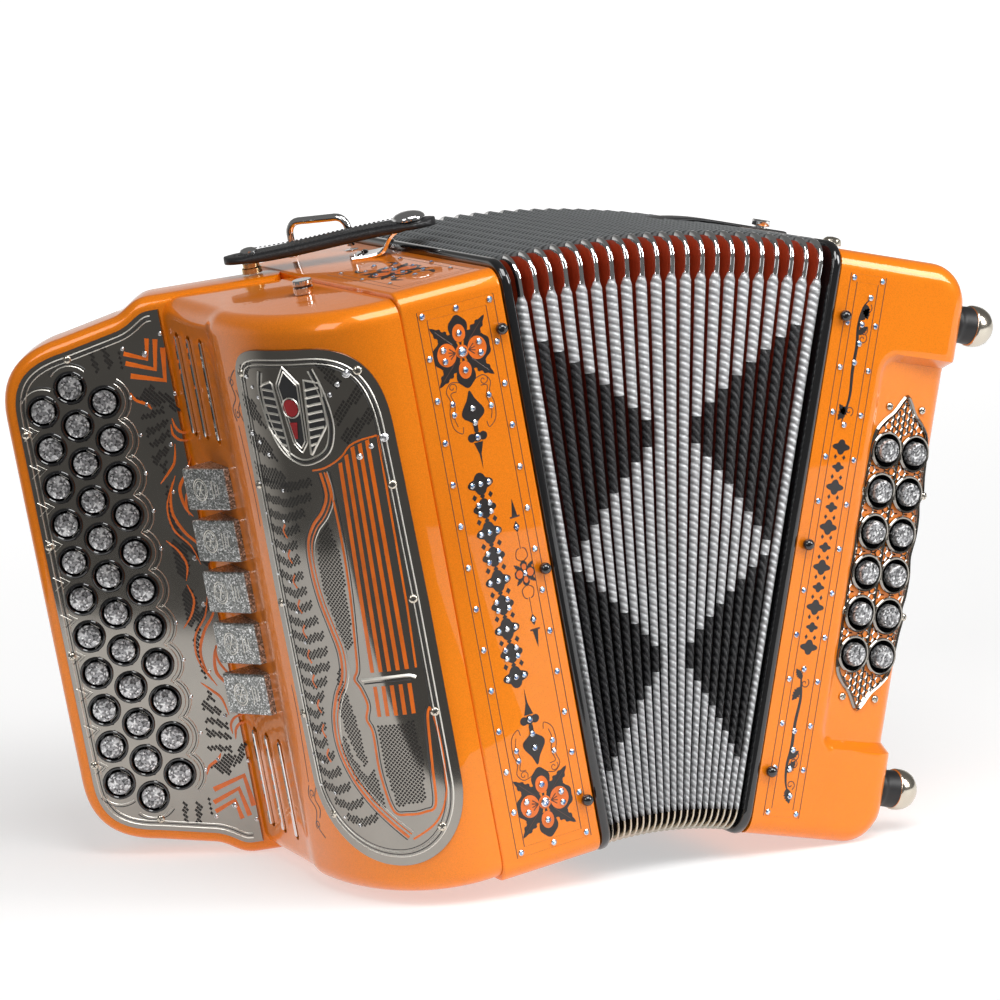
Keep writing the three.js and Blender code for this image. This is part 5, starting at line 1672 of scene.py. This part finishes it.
# ---------------------------------------------------------------- what is left of the CAD nodes
for name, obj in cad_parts.items():
    if not obj.hide_render:
        obj.data.materials.clear()
        obj.data.materials.append(BLACK)

# ---------------------------------------------------------------- floor, lights and camera
scene = bpy.context.scene
mesh = bpy.data.meshes.new("floor")
# the near edge of the white sheet is what the engraved plates mirror
sheet = [(-0.587, -0.205), (-0.498, -0.204), (-0.34, -0.22), (-0.233, -0.232), (-0.087, -0.318), (0.1, -0.42),
         (0.3, -1.1), (20, -4), (60, 80), (0, 80), (-0.3, 3), (-0.45, 0.6), (-0.5, 0.4), (-0.57, 0.1)]
mesh.from_pydata([(x, y, 0) for x, y in sheet], [], [tuple(range(len(sheet)))])
floor = bpy.data.objects.new("floor", mesh)
scene.collection.objects.link(floor)
paper, shader = nodes_of("paper", (0.52, 0.52, 0.52), 0.6, spec=0.2)
shader.inputs["Emission Color"].default_value = (1, 1, 1, 1)
where = add(paper, "TexCoord")
along = add(paper, "SeparateXYZ")
glow = add(paper, "MapRange")
glow.inputs["From Min"].default_value = 0.3
glow.inputs["From Max"].default_value = 2.2
glow.inputs["To Min"].default_value = 0.5
glow.inputs["To Max"].default_value = 1.0
link(paper, where, "Object", along, "Vector")
link(paper, along, "Y", glow, "Value")
link(paper, glow, "Result", shader, "Emission Strength")
mesh.materials.append(paper)
floor.location.z = -0.0002


def soft_light(name, at_point, aim, size, size_y, power):
    data = bpy.data.lights.new(name, "AREA")
    data.shape = "RECTANGLE"
    data.size = size
    data.size_y = size_y
    data.energy = power
    obj = bpy.data.objects.new(name, data)
    scene.collection.objects.link(obj)
    obj.location = at_point
    obj.rotation_euler = (Vector(aim) - Vector(at_point)).to_track_quat("-Z", "Y").to_euler()


soft_light("overhead", (0.0, -1.15, 1.9), (0, 0, 0.1), 1.5, 1.1, 36)
soft_light("left_bank", (-2.0, -1.1, 1.5), (-0.1, 0, 0.15), 0.9, 1.2, 13)
soft_light("right_bank", (1.7, -1.6, 1.3), (0.1, 0, 0.15), 0.8, 1.3, 34)

world = bpy.data.worlds.new("studio")
scene.world = world
world.use_nodes = True
direction = add(world, "TexCoord")
split = add(world, "SeparateXYZ")
link(world, direction, "Generated", split, "Vector")


def band(axis, low, high, start, end):
    """A value that goes from start to end as the direction's axis goes from low to high."""
    node = add(world, "MapRange", interpolation_type="SMOOTHSTEP")
    for key, value in zip(("From Min", "From Max", "To Min", "To Max"), (low, high, start, end)):
        node.inputs[key].default_value = value
    link(world, split, axis, node, "Value")
    return node


# dim all round, with a light band low behind the accordion
product = add(world, "Math", operation="MULTIPLY_ADD")
link(world, band("Y", 0.4, 0.85, 0.0, 1.0), "Result", product, 0)
link(world, band("Z", 0.1, 0.45, 0.6, 0.0), "Result", product, 1)
product.inputs[2].default_value = 0.15
background = world.node_tree.nodes["Background"]
background.inputs["Color"].default_value = (1, 0.99, 0.97, 1)
link(world, product, "Value", background, "Strength")

scene.view_settings.view_transform = "Standard"
scene.view_settings.look = "None"

# camera: measured in the treble half's own frame, so it stands where the half does
TILT = math.radians(2.95)
AZ, EL = math.radians(-25.553), math.radians(8.102)
turn = Matrix.Rotation(TILT, 3, "Y")
backward = turn @ Vector((math.sin(AZ) * math.cos(EL), -math.cos(AZ) * math.cos(EL), math.sin(EL)))
sideways = turn @ Vector((math.cos(AZ), math.sin(AZ), 0))
upward = backward.cross(sideways)
eye = turn @ (Vector((-909.8, -1855.7, 326.9)) * MM) + T.translation
camera_data = bpy.data.cameras.new("camera")
camera_data.sensor_width = 36
camera_data.lens = 157.9
camera_data.clip_end = 50
camera = bpy.data.objects.new("camera", camera_data)
scene.collection.objects.link(camera)
stand = Matrix((sideways, upward, backward)).transposed().to_4x4()
stand.translation = eye
camera.matrix_world = stand
scene.camera = camera
